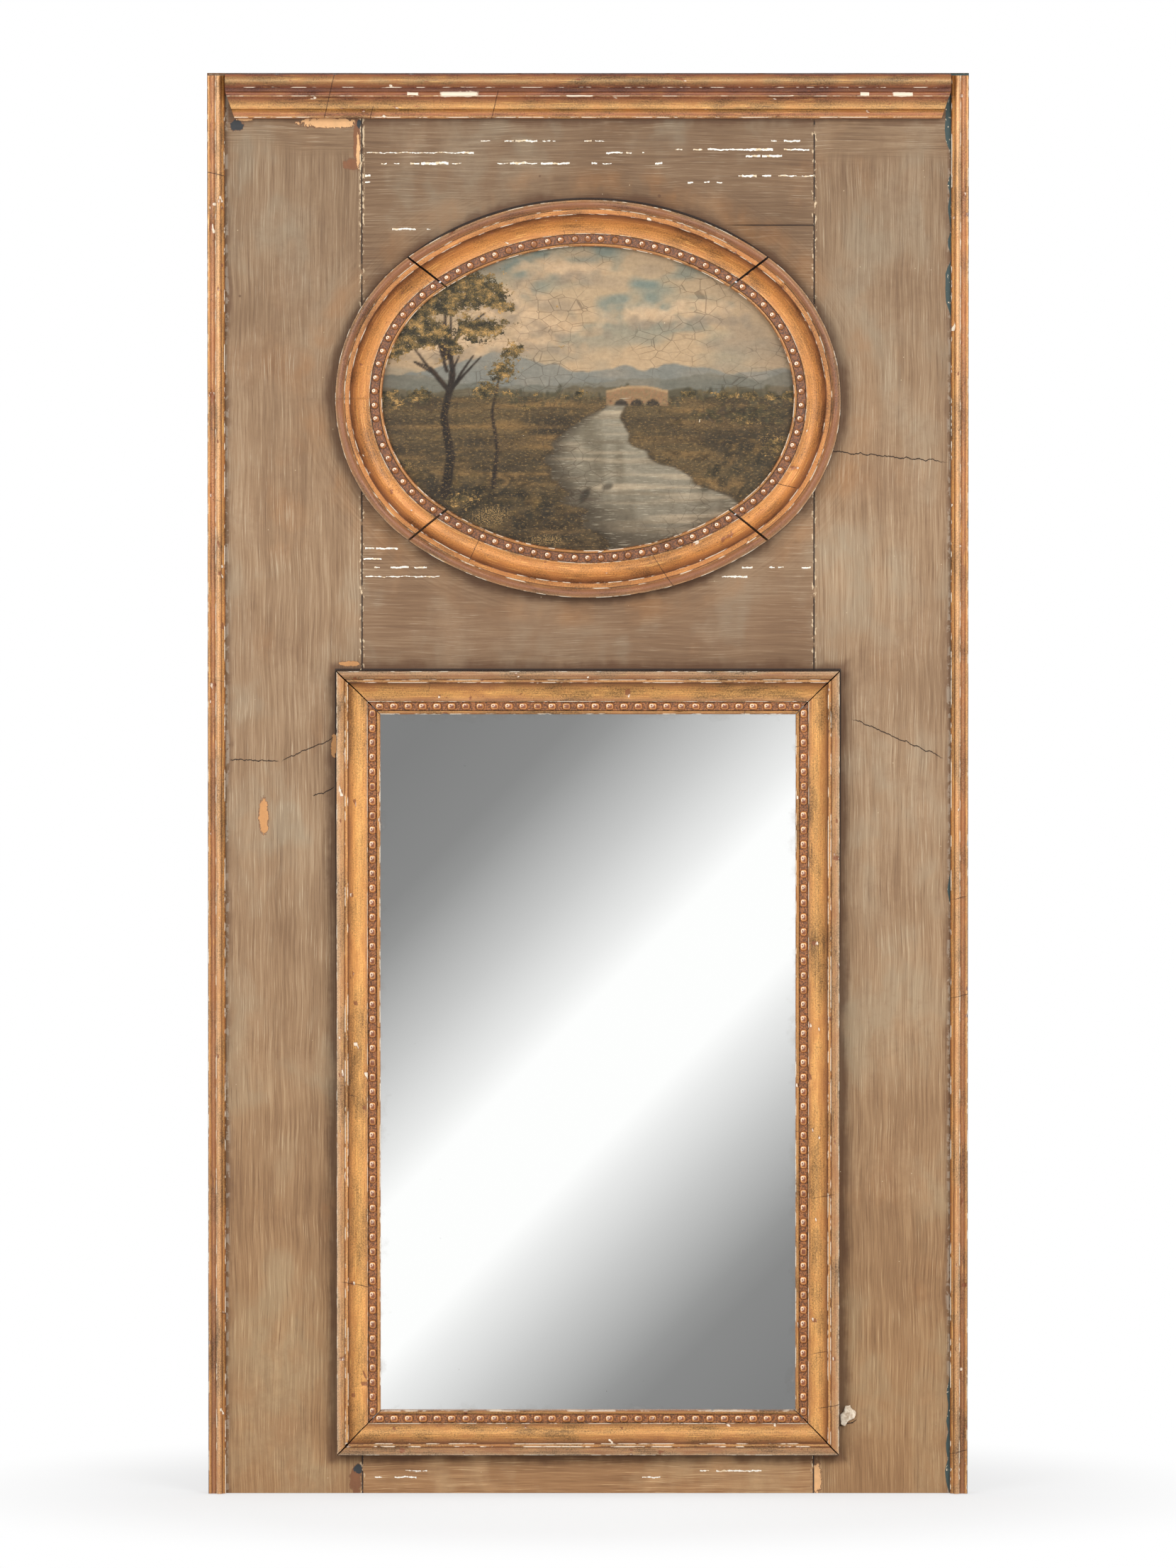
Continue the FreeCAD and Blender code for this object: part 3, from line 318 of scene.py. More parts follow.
    rough_edge = (paint.clouds(170, 1, 170, detail=4, roughness=0.75) - 0.5) * 4
    for across, height, half_wide, half_high, shown in patches:
        off_x, off_z = (x - across * MM) / (half_wide * MM), (z - height * MM) / (half_high * MM)
        reach = off_x * off_x + off_z * off_z + rough_edge
        colour = paint.coat(colour, (112, 72, 46), reach, 1.5, 1.25, 0.7)
        colour = paint.mix(paint.band(reach, 1.1, 1.0), colour, paint.shade(shown, 0.75 + fine_spread * 0.5))
    for start_x, start_z, end_x, end_z in cracks:
        slope = (end_z - start_z) / (end_x - start_x)
        line = z - (x - start_x * MM) * slope - start_z * MM + wobble * 2 + edge_wobble
        long = abs(end_x - start_x) * MM
        here = paint.band(abs(x - (start_x + end_x) / 2 * MM), long / 2, long / 2.6)
        crack = crack.most(paint.band(abs(line), 0.0007, 0.0002) * here)
    if scallops:
        stops = [(height * MM / PANEL_HEIGHT, grey(depth / 8)) for height, depth in scallops]
        stops = [stops[0], stops[-1], *stops[1:-1]]
        bite = paint.ramp(z / PANEL_HEIGHT, stops) * 0.008 + (fine_spread - 0.5) * 0.0012
        bitten = paint.band(bite - (EDGE_INNER - 0.0004 - x), 0.0002, 0.0006)
        bared = paint.mix(paint.band(ragged, 0.62, 0.66), (58, 74, 72), (214, 196, 170))
        colour = paint.mix(bitten, colour, bared)
        crack = crack * (1 - bitten)
    knots = paint.cells(13, 1, 13)
    colour = paint.coat(colour, (92, 62, 42), knots + (fine_spread - 0.5) * 0.02, 0.026, 0.016, 0.7)
    dots = paint.cells(48, 1, 48)
    colour = paint.coat(colour, (206, 184, 150), dots, 0.030, 0.018, 0.7)
    colour = paint.mix(crack, colour, (46, 32, 25))

    grain = paint.clouds(*((5, 160, 160) if level_strokes else (160, 160, 5)), detail=4)
    wood = paint.ramp(paint.band(grain, 0.3, 0.7), [(0, (84, 58, 38)), (1, (137, 101, 68))])
    front = paint.band(y, FRONT + 0.0008, FRONT + 0.0004)
    colour = paint.mix(front, wood, colour)
    relief = marks * 0.5 + hairs * 0.5 - crack * 2
    return paint.finish(Base_Color=colour, Roughness=0.60 + (marks - 0.5) * 0.3,
                        Normal=paint.bump(relief, 0.0006, 0.6), Specular_IOR_Level=0.35)


CREAM, OCHRE, BROWN, SLATE = (222, 172, 120), (198, 142, 88), (126, 82, 52), (50, 52, 54)
left_stile_paint = panel_paint("left_stile_paint", False, patches=[
    (-245, 1303, 27, 4.5, CREAM), (-308, 645, 4, 17, OCHRE), (-241, 712, 2.6, 10, OCHRE),
    (-226, 790, 9, 2.4, OCHRE), (-219, 1286, 3, 20, BROWN), (-224, 1264, 7, 5, BROWN),
    (-218, 1276, 1.6, 16, CREAM), (-217, 1302, 2, 4, SLATE), (-221, 12, 5, 12, BROWN),
    (-219, 23, 4, 4, SLATE), (-333, 1301, 6, 5, SLATE), (-325, 1306, 7, 1.2, CREAM)],
    cracks=[(-342, 699, -292, 697), (-292, 697, -240, 720), (-262, 664, -240, 672)])
right_stile_paint = panel_paint("right_stile_paint", False, patches=[
    (217, 14, 5, 14, CREAM), (226, 38, 5, 3, BROWN)],
    cracks=[(186, 996, 345, 981), (248, 739, 340, 699), (236, 63, 256, 70)],
    scallops=[(0, 0), (8, 3), (22, 4.4), (32, 1.6), (46, 4), (58, 1.4), (68, 3.4), (82, 1.2), (96, 3),
              (112, 0), (560, 0), (575, 3), (592, 0), (1120, 0), (1135, 5), (1162, 5), (1172, 0), (1178, 0),
              (1190, 3.6), (1200, 0), (1208, 1), (1222, 3), (1236, 0.6), (1246, 3.6), (1255, 0), (1274, 0),
              (1286, 5), (1300, 6), (1309, 5)])
dress(nodes["left_stile"], left_stile_paint)
dress(nodes["right_stile"], right_stile_paint)


# ---------------------------------------------------------------- rails and the boards behind the oval
# Three cross boards tenoned into the stiles, and two thinner-grained boards let in behind the oval picture
# by tongues. They carry the same paint, brushed level, and round the oval where the frame was in the way.
FLAKED_LINES = [
    (1285.8, [(-102, -94, 1.2), (-80, -71, 1.5), (-69, -49, 2), (-43, -32, 1), (-5, 2, 1.5), (6, 14, 1),
              (173, 178, 1.5), (185.5, 200, 2)]),
    (1274.7, [(-211, -121, 1.2), (-120.5, -109, 2.2), (17, 32, 2), (35, 40, 1.5), (50, 53, 1.5)]),
    (1277.7, [(81, 89, 1), (99, 107, 1.5), (113, 152, 2), (152.5, 175, 2.8), (185.5, 209, 2)]),
    (1271.5, [(148, 163, 2.2), (163.5, 179, 2.8), (180, 183, 2)]),
    (1264.6, [(-196, -191, 1.5), (-184, -180, 1), (-170, -160, 1.8), (-159.5, -133, 3), (-130, -121, 1.2),
              (-86, -76, 1.2), (-74, -60, 2.6), (-59, -49, 1.2), (-45, -18, 2.2), (2, 7, 2), (13, 22, 1.2),
              (62, 70, 2.2)]),
    (1252.8, [(-213, -207, 2.5), (142, 145, 1), (146, 159, 2.5), (164, 172, 2.2), (179, 197, 1.4),
              (202, 214, 1.5)]),
    (1246.7, [(-212, -207, 1.5), (93, 99, 2), (110, 114, 1.5), (122, 126, 1.5)]),
    (1202.3, [(-186, -164, 2), (-154, -150, 1)]),
    (899.5, [(-213, -203, 1.8), (-202, -181, 2)]),
    (889.4, [(-213.5, -196, 2)]),
    (881.3, [(-203, -198, 1.5), (-188, -171, 2), (-166, -154, 1.8), (145, 155, 2), (171, 177, 1.8),
             (180, 185, 1.5), (202, 210, 1.8)]),
    (872.6, [(-213, -141, 1.3), (127, 150, 2)]),
    (15.1, [(-203, -197, 1.5), (-184, -164, 1.8), (51, 68, 1.5)]),
    (21.2, [(-174, -154, 1.2), (105, 115, 1.5), (122, 165, 1.8)]),
]
rail_paint = panel_paint("rail_paint", True, losses=FLAKED_LINES)
for name in ("top_rail", "middle_rail", "bottom_rail", "oval_surround_upper", "oval_surround_lower"):
    dress(nodes[name], rail_paint)


# ---------------------------------------------------------------- side mouldings
# A strip of softwood run with a lip, a hollow and a round, coated with gesso, red bole and gold leaf, and
# glued and nailed along both edges of the panel. The leaf is rubbed through to the bole on the high places.
def edit(piece):
    bpy.context.view_layer.objects.active = piece
    bpy.ops.object.mode_set(mode="EDIT")


def leave_edit():
    bpy.ops.object.mode_set(mode="OBJECT")


def take_all():
    bpy.ops.mesh.select_all(action="SELECT")


def draw_out(step):
    """Runs the whole of an open mesh along a vector."""
    take_all()
    bpy.ops.mesh.extrude_region_move(TRANSFORM_OT_translate={"value": step})


def face_out():
    take_all()
    bpy.ops.mesh.normals_make_consistent(inside=False)


def saw(corner, out):
    """Saws the piece through a corner, closes the cut and drops what lies on the side of out."""
    take_all()
    bpy.ops.mesh.bisect(plane_co=corner, plane_no=out, use_fill=True, clear_outer=True)


def new_piece(add, name, **settings):
    """A piece from one of Blender's mesh operators, its place and turn taken into the mesh."""
    bpy.ops.object.select_all(action="DESELECT")
    add(**settings)
    piece = bpy.context.object
    piece.name = name
    bpy.ops.object.transform_apply(location=True, rotation=True, scale=True)
    return piece


UPRIGHT = (math.pi / 2, 0, 0)


def pick(*pieces):
    """Selects these pieces and nothing else, the first one active."""
    bpy.ops.object.select_all(action="DESELECT")
    for piece in pieces:
        piece.select_set(True)
    bpy.context.view_layer.objects.active = pieces[0]


def curve_points(start, end, rise, count):
    """Corners along a shallow curve after its start, up to its end. A positive rise swells to the left."""
    across, up = end[0] - start[0], end[1] - start[1]
    points = []
    for index in range(1, count + 1):
        share = index / count
        swell = 4 * rise * share * (1 - share)
        points.append((start[0] + share * across - swell * up, start[1] + share * up + swell * across))
    return points


def section_face(name, corners):
    """An object with one face: the outline is drawn corner by corner and then filled."""
    piece = new_piece(bpy.ops.mesh.primitive_plane_add, name, size=MM, location=corners[0])
    edit(piece)
    bpy.ops.mesh.select_mode(type="VERT")
    take_all()
    bpy.ops.mesh.merge(type="CENTER")
    for start, end in zip(corners, corners[1:]):
        step = Vector(end) - Vector(start)
        bpy.ops.mesh.extrude_vertices_move(TRANSFORM_OT_translate={"value": step})
    take_all()
    bpy.ops.mesh.edge_face_add()
    leave_edit()
    return piece


def select_edges(piece, wanted):
    """Selects the edges for which wanted(start, end) holds, and nothing else, and opens edit mode."""
    mesh = piece.data
    for group in (mesh.vertices, mesh.edges, mesh.polygons):
        group.foreach_set("select", [False] * len(group))
    for edge in mesh.edges:
        start, end = (mesh.vertices[index].co for index in edge.vertices)
        edge.select = wanted(start, end)
    scene.tool_settings.mesh_select_mode = (False, True, False)
    edit(piece)


def run_moulding(name, profile, start, run, inward, cuts):
    """A straight length: the section is drawn at start and run along a vector, then cut across in steps.

    profile holds (inward, height) pairs in millimetres, inward is the direction towards the panel's middle.
    """
    corners = [start + inward * (across * MM) + Vector((0, -height * MM, 0)) for across, height in profile]
    piece = section_face(name, corners)
    edit(piece)
    draw_out(run)
    leave_edit()
    along = run.normalized()
    for count in cuts:
        select_edges(piece, lambda first, last: abs((last - first).dot(along)) > 0.5 * (last - first).length)
        bpy.ops.mesh.subdivide(number_cuts=count)
        leave_edit()
    edit(piece)
    face_out()
    leave_edit()
    return piece


def note(piece, name, levels):
    """Keeps one number for each corner of the mesh, for the finish to read."""
    numbers = np.full(len(piece.data.vertices), levels, np.float32)
    piece.data.attributes.new(name, "FLOAT", "POINT").data.foreach_set("value", numbers)


def places(piece):
    spots = np.empty(len(piece.data.vertices) * 3, np.float32)
    piece.data.vertices.foreach_get("co", spots)
    return spots.reshape(-1, 3).astype(float)


def wear(piece, depth, grain, start=0.0, end=1.0):
    """Sinks the surface by up to depth in clouds of the given grain, from the level start to the level end.

    Returns how deep each corner went, as a share of depth.
    """
    before = places(piece)
    cloud = bpy.data.textures.new(f"{piece.name}_wear", "CLOUDS")
    cloud.noise_scale = grain
    cloud.noise_depth = 2
    cloud.use_color_ramp = True
    dark, light = cloud.color_ramp.elements
    dark.position, dark.color = start, (0, 0, 0, 1)
    light.position, light.color = end, (1, 1, 1, 1)
    press = piece.modifiers.new("wear", "DISPLACE")
    press.texture = cloud
    press.texture_coords = "LOCAL"
    press.strength = -depth
    press.mid_level = 0
    pick(piece)
    bpy.ops.object.modifier_apply(modifier="wear")
    return np.linalg.norm(places(piece) - before, axis=1) / depth


def smooth(piece, angle=38):
    pick(piece)
    bpy.ops.object.shade_smooth_by_angle(angle=math.radians(angle))


def age(piece, finish, across, along, soot, chips_start=0.76):
    """Rubs a gilt length, knocks chips out of it and dresses it.

    across and along were measured on the new length. The finish reads them, the chips and the soot, which also
    carries painted shade.
    """
    wear(piece, 0.35 * MM, 0.05)
    chips = wear(piece, 0.8 * MM, 0.009, chips_start, chips_start + 0.03)
    for name, levels in (("across", across), ("along", along), ("chip", chips), ("soot", soot)):
        note(piece, name, levels)
    smooth(piece)
    dress(piece, finish)


def gilding(name, width, members, arrises, bole=0.5, lost=()):
    """Old leaf over bole and gesso, with grime in the hollows, painted highlights on the clean leaf and
    painted shadow on the outer wall.

    members gives the colour of the leaf and the amount of grime at shares of the way across the moulding; the
    dark stops in the grooves are grime and painted shade. arrises gives the distances in millimetres of the
    sharp edges whose gesso shows in thin white lines. lost gives larger chips: middle along and across, half
    length and half width, in millimetres.
    """
    gilt = Finish(name)
    across = gilt.attribute("across")
    along = gilt.attribute("along")
    chip = gilt.attribute("chip")
    soot = gilt.attribute("soot")
    spot = gilt.joined(along, across, 0)

    def marks(long, wide, detail=3, roughness=0.6):
        return gilt.clouds(long, wide, 1, place=spot, detail=detail, roughness=roughness)

    shift = (marks(60, 300) - 0.5) * (1.1 * MM)
    stops = [(share, (*linear(shown), grime)) for share, shown, grime in members]
    colour = gilt.ramp((across + shift) / width, stops)
    grime = Level(gilt, colour.socket.node.outputs["Alpha"])
    broad = marks(11, 26)
    patch = marks(34, 90)
    fine = marks(620, 620, roughness=0.7)
    streaks = marks(30, 1100)
    stipple = marks(1300, 1300, detail=2)
    # The soot level darkens the leaf: soot, and painted shade that differs from length to length.
    level = broad * 1.7 + fine * 1.3 + streaks * 0.9 + stipple * 1.0 + patch * 0.9 - soot * 0.35
    colour = gilt.shade(colour, (level - 2.14).most(0.2))
    colour = gilt.coat(colour, (160, 94, 42), patch * 0.6 + broad * 0.4, 0.46, 0.64, 0.5)
    rubbed = marks(90, 330, detail=4, roughness=0.7) + (streaks - 0.5) * 0.25
    worn = gilt.band(rubbed, 0.76 - 0.22 * bole, 0.88 - 0.22 * bole)
    colour = gilt.mix(worn * 0.75, colour, (140, 74, 44))
    dust = grime * 0.62 + (patch - 0.5) * 0.6 + (broad - 0.5) * 0.7
    dust = dust + soot * 0.34 + (fine - 0.5) * 0.5 + (stipple - 0.5) * 0.9
    colour = gilt.coat(colour, (112, 70, 44), dust, 0.26, 0.62, 0.75)
    colour = gilt.coat(colour, (66, 42, 34), dust, 0.58, 0.95, 0.6)
    pepper = gilt.band(gilt.cells(430, 430, 430), 0.26, 0.14)
    pepper = pepper * gilt.band(marks(18, 60) + (grime - 0.3) * 0.2, 0.50, 0.62)
    colour = gilt.mix(pepper * 0.7, colour, (106, 62, 38))
    # Painted highlights: pale yellow gold on streaks and patches of clean leaf.
    painted_highlight = gilt.band(streaks + (patch - 0.5) * 0.5, 0.60, 0.74) * (1 - gilt.band(dust, 0.2, 0.5))
    colour = gilt.mix(painted_highlight * 0.5, colour, (252, 202, 116))

    gesso = gilt.band(chip, 0.45, 0.7) * gilt.band(patch, 0.50, 0.56)
    broken = marks(46, 150, roughness=0.65)
    for place in arrises:
        line = gilt.band(abs(across - place * MM + shift * 0.35), 0.0005, 0.0002)
        gesso = gesso.most(line * gilt.band(broken + (place % 3) * 0.01, 0.52, 0.58))
    for middle, place, half_long, half_wide in lost:
        off_along = abs(along - middle * MM) / (half_long * MM) + (fine - 0.5) * 0.3
        off_across = abs(across - place * MM) / (half_wide * MM) + (broken - 0.5) * 3
        gesso = gesso.most(gilt.band(off_along.most(off_across), 1.1, 0.95))
    cracks = gilt.node("ShaderNodeTexVoronoi", {"voronoi_dimensions": "1D", "feature": "DISTANCE_TO_EDGE"},
                       {"W": along * 17 + across * 4 + (fine - 0.5) * 0.02, "Scale": 1, "Randomness": 1})
    crack = gilt.band(cracks, 0.009, 0.003) * gilt.band(marks(10, 10), 0.55, 0.60)
    colour = gilt.coat(colour, (132, 76, 46), chip, 0.3, 0.6, 0.8)
    colour = gilt.mix(gesso * 0.9, colour, (244, 228, 204))
    colour = gilt.mix(crack * 0.8, colour, (64, 38, 26))
    # The outer wall of the moulding nearly black: dirty bare wood, and painted shadow beside the frame.
    side_wall_dirt_and_shadow = gilt.band(across, 0.0005, 0.0002)
    colour = gilt.mix(side_wall_dirt_and_shadow * 0.97, colour, (34, 21, 15))
    relief = fine * 0.5 + streaks * 0.5 + broad * 0.4 - crack * 0.8 - pepper * 0.3
    shine = 0.36 + worn * 0.15 + gilt.band(dust, 0.3, 0.7) * 0.25 + gesso * 0.3 + (fine - 0.5) * 0.3
    metal = (1 - gesso) * (1 - gilt.band(dust, 0.3, 0.6)) * 0.22
    return gilt.finish(Base_Color=colour, Roughness=shine, Metallic=metal, Specular_IOR_Level=0.45,
                       Normal=gilt.bump(relief, 0.0005, 0.6))


EDGE_WIDTH = 17 * MM
EDGE_TOP = 1.348
edge_profile = [(0, 0), (0, 7.4), *curve_points((0, 7.4), (2.8, 7.4), 0.22, 4), (3.1, 6.9),
                *curve_points((3.1, 6.9), (7.2, 7.6), -0.16, 6), (7.5, 8.6), (7.9, 9.2),
                *curve_points((7.9, 9.2), (13.4, 9.2), 0.30, 9), (13.5, 7.4), (14.3, 6.9), (16.6, 5.2),
                (17, 4.6), (17, 0)]
edge_gilding = gilding("edge_gilding", EDGE_WIDTH, [
    (0.0, (96, 58, 38), 0.8), (0.03, (198, 142, 88), 0.4), (0.10, (216, 162, 104), 0.1),
    (0.17, (202, 146, 88), 0.2), (0.20, (150, 94, 56), 0.6), (0.30, (184, 128, 82), 0.35),
    (0.41, (166, 108, 66), 0.45), (0.46, (232, 198, 158), 0.1), (0.52, (214, 164, 118), 0.15),
    (0.63, (226, 174, 120), 0.1), (0.75, (206, 150, 94), 0.2), (0.79, (140, 88, 52), 0.5),
    (0.84, (214, 156, 90), 0.1), (0.93, (196, 134, 72), 0.25), (1.0, (122, 78, 48), 0.7)],
    arrises=(0.5, 7.7, 16.4), bole=0.5)
for side, hand in (("left", -1), ("right", 1)):
    start = Vector((hand * PANEL_HALF, FRONT, 0))
    moulding = run_moulding(f"{side}_gilt_edge", edge_profile, start, Vector((0, 0, EDGE_TOP)),
                            Vector((-hand, 0, 0)), (20, 19))
    spots = places(moulding)
    age(moulding, edge_gilding, PANEL_HALF - abs(spots[:, 0]), spots[:, 2] + hand * 3,
        np.clip((0.5 - spots[:, 2]) * 0.6, -0.2, 0.3), chips_start=0.75)
    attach(moulding, "panel")
    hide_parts(f"{side}_edge_moulding")


# ---------------------------------------------------------------- loose gesso flake
# A lump of old gesso that has broken from the mirror frame's outer edge and stands off the stile beside the
# frame's lower right corner. It is chalky, uneven and a little thicker towards the frame.
flake_paint = Finish("bare_gesso")
dust = flake_paint.clouds(260, 260, 260, detail=4, roughness=0.65)
chalk = flake_paint.ramp(flake_paint.band(dust, 0.3, 0.7), [(0, (192, 166, 138)), (1, (246, 232, 210))])
bare_gesso = flake_paint.finish(Base_Color=chalk, Roughness=0.85, Specular_IOR_Level=0.2,
                                Normal=flake_paint.bump(dust, 0.0008, 0.7))
FLAKE_OUTLINE = [(-6.5, -9.5), (-1.5, -10.5), (1.5, -6.0), (7.5, -3.5), (9.0, 3.0), (5.0, 6.5), (3.5, 10.5),
                 (-2.0, 9.0), (-3.5, 3.5), (-7.0, 0.5)]
FLAKE_X, FLAKE_Z = 0.2462, 0.0745
flake = section_face("gesso_flake", [Vector((FLAKE_X + across * MM, FRONT - 0.1 * MM, FLAKE_Z + up * MM))
                                     for across, up in FLAKE_OUTLINE])
edit(flake)
draw_out((0, -4.5 * MM, 0))
face_out()
bpy.ops.mesh.bevel(offset=1.2 * MM, segments=2, affect="EDGES")
bpy.ops.mesh.quads_convert_to_tris()
bpy.ops.mesh.subdivide(number_cuts=3)
leave_edit()
wear(flake, 1.4 * MM, 0.006, 0.3, 0.75)
smooth(flake, 50)
dress(flake, bare_gesso)
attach(flake, "panel")


# ---------------------------------------------------------------- cornice
# The top moulding, run from one piece of softwood: a torus, a shadow line, a small bead, a cove and an
# ovolo. Its lower members are cut back at both ends to meet the side mouldings. Gesso shows on the bead.
CORNICE_WIDTH = 43 * MM
CORNICE_HALF = 0.3438
cornice_profile = [(0, 0), (0, 23.9), *curve_points((0, 23.9), (13.5, 23.9), 0.30, 12), (13.6, 16.2),
                   (16.8, 16.2), (17, 19.7), *curve_points((17, 19.7), (21.5, 19.7), 0.28, 6), (21.6, 18.6),
                   *curve_points((21.6, 18.6), (33.2, 13), -0.19, 9), (33.6, 13), (34, 10.4),
                   *curve_points((34, 10.4), (43, 10.4), 0.28, 8), (43, 0)]
# The dark stops under the torus and in the grooves are grime and painted shade.
cornice_gilding = gilding("cornice_gilding", CORNICE_WIDTH, [
    (0.0, (116, 62, 42), 0.6), (0.03, (154, 82, 54), 0.35), (0.07, (172, 122, 74), 0.4),
    (0.15, (190, 148, 96), 0.25), (0.22, (164, 118, 72), 0.4), (0.28, (150, 86, 54), 0.5),
    (0.315, (146, 80, 54), 0.5), (0.38, (132, 74, 50), 0.6), (0.42, (168, 106, 74), 0.4),
    (0.47, (150, 90, 66), 0.4), (0.50, (232, 182, 136), 0.0), (0.53, (156, 92, 66), 0.4),
    (0.60, (178, 122, 76), 0.35), (0.70, (204, 152, 88), 0.15), (0.77, (200, 148, 84), 0.2),
    (0.82, (196, 142, 82), 0.25), (0.91, (176, 108, 70), 0.35), (0.955, (232, 176, 120), 0.0),
    (1.0, (150, 92, 58), 0.5)],
    arrises=(13.2, 21.4, 41.6), bole=0.75,
    lost=[(-122, 19.4, 17, 2.2), (-166, 19.2, 5, 1.4), (298, 19.4, 9, 2.1), (262, 19.6, 4, 1.5),
          (-8, 21.4, 12, 0.8)])
cornice = run_moulding("gilt_cornice", cornice_profile, Vector((-CORNICE_HALF, FRONT, PANEL_HEIGHT)),
                       Vector((2 * CORNICE_HALF, 0, 0)), Vector((0, 0, -1)), (13, 14))
for hand in (-1, 1):
    edit(cornice)
    saw(Vector((hand * CORNICE_HALF, 0, PANEL_HEIGHT - 17 * MM)), Vector((hand * 26, 0, -9)).normalized())
    leave_edit()
spots = places(cornice)
age(cornice, cornice_gilding, PANEL_HEIGHT - spots[:, 2], spots[:, 0], soot=0.15)
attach(cornice, "panel")
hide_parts("cornice_moulding")


# ---------------------------------------------------------------- mirror frame
# Four lengths of gilt softwood moulding, mitred and glued round the plate: a round lip, a fillet, a deep
# cove, a channel and a small inner lip. The mitres have opened with age and show dark gaps.
FRAME_WIDTH = 42 * MM
MITRE_GAP = 0.75 * MM
MITRE_SPREAD = 0.010
mirror_profile = [(0, 0), (0, 21.2), *curve_points((0, 21.2), (8.4, 21.2), 0.31, 10), (8.6, 19.4),
                  (8.9, 18.9), (11.1, 18.9), (11.4, 18.2), *curve_points((11.4, 18.2), (29.0, 9.0), -0.18, 14),
                  (29.3, 9.6), (29.8, 9.5), (30.1, 5.0), (38.4, 5.0), (38.7, 8.2),
                  *curve_points((38.7, 8.2), (41.8, 8.0), 0.22, 4), (42, 7.4), (42, 0)]
# The dark stops in the grooves beside the lip and the fillet are grime and painted shade.
mirror_gilding = gilding("mirror_gilding", FRAME_WIDTH, [
    (0.0, (110, 72, 52), 0.6), (0.015, (230, 196, 160), 0.1), (0.05, (222, 178, 132), 0.3),
    (0.11, (204, 150, 100), 0.45), (0.17, (214, 162, 106), 0.35), (0.198, (128, 80, 52), 0.7),
    (0.212, (226, 168, 106), 0.15), (0.255, (220, 158, 92), 0.2), (0.268, (112, 68, 44), 0.8),
    (0.31, (196, 136, 78), 0.5), (0.40, (224, 160, 88), 0.25), (0.52, (238, 176, 100), 0.05),
    (0.62, (232, 168, 94), 0.25), (0.69, (214, 150, 88), 0.5), (0.705, (240, 204, 150), 0.1),
    (0.722, (156, 102, 60), 0.5), (0.90, (150, 96, 56), 0.55), (0.925, (218, 160, 92), 0.2),
    (1.0, (190, 130, 76), 0.4)], arrises=(0.5, 8.7, 11.2, 29.6, 41.6), bole=0.45)


def mitred_length(name, profile, start, run, inward, cuts, spread):
    """A moulding on one side of the mirror, cut at 45 degrees at both ends, with a spread wider inside."""
    piece = run_moulding(name, profile, start, run, inward, cuts)
    along = run.normalized()
    edit(piece)
    for corner, way in ((start, along), (start + run, -along)):
        saw(corner + way * MITRE_GAP, (inward - way * (1 + spread)).normalized())
    leave_edit()
    return piece


MIRROR_LEFT, MIRROR_FOOT, MIRROR_HEAD = -0.239, 0.0375, 0.784
across_run = Vector((2 * MIRROR_HALF[0], 0, 0))
up_run = Vector((0, 0, 2 * MIRROR_HALF[1]))
frame_sides = {
    "bottom": (Vector((MIRROR_LEFT, FRONT, MIRROR_FOOT)), across_run, Vector((0, 0, 1))),
    "top": (Vector((MIRROR_LEFT, FRONT, MIRROR_HEAD)), across_run, Vector((0, 0, -1))),
    "left": (Vector((MIRROR_LEFT, FRONT, MIRROR_FOOT)), up_run, Vector((1, 0, 0))),
    "right": (Vector((-MIRROR_LEFT, FRONT, MIRROR_FOOT)), up_run, Vector((-1, 0, 0))),
}
# Soot and painted shade for each length: the top and bottom darker, the left one lighter than the rest.
FRAME_SOOT_AND_SHADE = {"bottom": 0.4, "top": 0.45, "left": -0.1, "right": 0.15}
for order, (side, (start, run, inward)) in enumerate(frame_sides.items()):
    length = mitred_length(f"gilt_mirror_frame_{side}", mirror_profile, start, run, inward, (14, 13),
                           MITRE_SPREAD)
    spots = places(length) - np.array(start)
    age(length, mirror_gilding, spots @ np.array(inward),
        spots @ np.array(run.normalized()) + order * 2.3, FRAME_SOOT_AND_SHADE[side])
    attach(length, "panel")
    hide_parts(f"mirror_frame_{side}")


# ---------------------------------------------------------------- mirror beads
# A course of cast gesso beads on a thin strip, laid in the frame's channel and gilded with it. Each is a
# squared cushion, rubbed to the red bole on top, with leaf left round its shoulders and dirt between. A pale
# ring and a white mark on the upper left of each are painted highlights, the mark partly a gesso chip.
def bead_blank(name, length, width, height, corner, rounds):
    """One cushion-shaped bead around the origin, its foot on Y = 0 and its top towards -Y."""
    bead = new_piece(bpy.ops.mesh.primitive_cube_add, name, size=1, location=(0, -height / 2, 0),
                     scale=(length, height, width))
    select_edges(bead, lambda first, last: abs(first.y - last.y) > height / 2)
    bpy.ops.mesh.bevel(offset=corner, segments=rounds, affect="EDGES")
    leave_edit()
    select_edges(bead, lambda first, last: max(first.y, last.y) < -height * 0.9)
    bpy.ops.mesh.bevel(offset=height * 0.46, segments=2, affect="EDGES")
    leave_edit()
    return bead


def copied(piece, placing):
    """A copy of the piece with a placing worked into its mesh."""
    copy = piece.copy()
    copy.data = piece.data.copy()
    copy.data.transform(placing)
    scene.collection.objects.link(copy)
    return copy


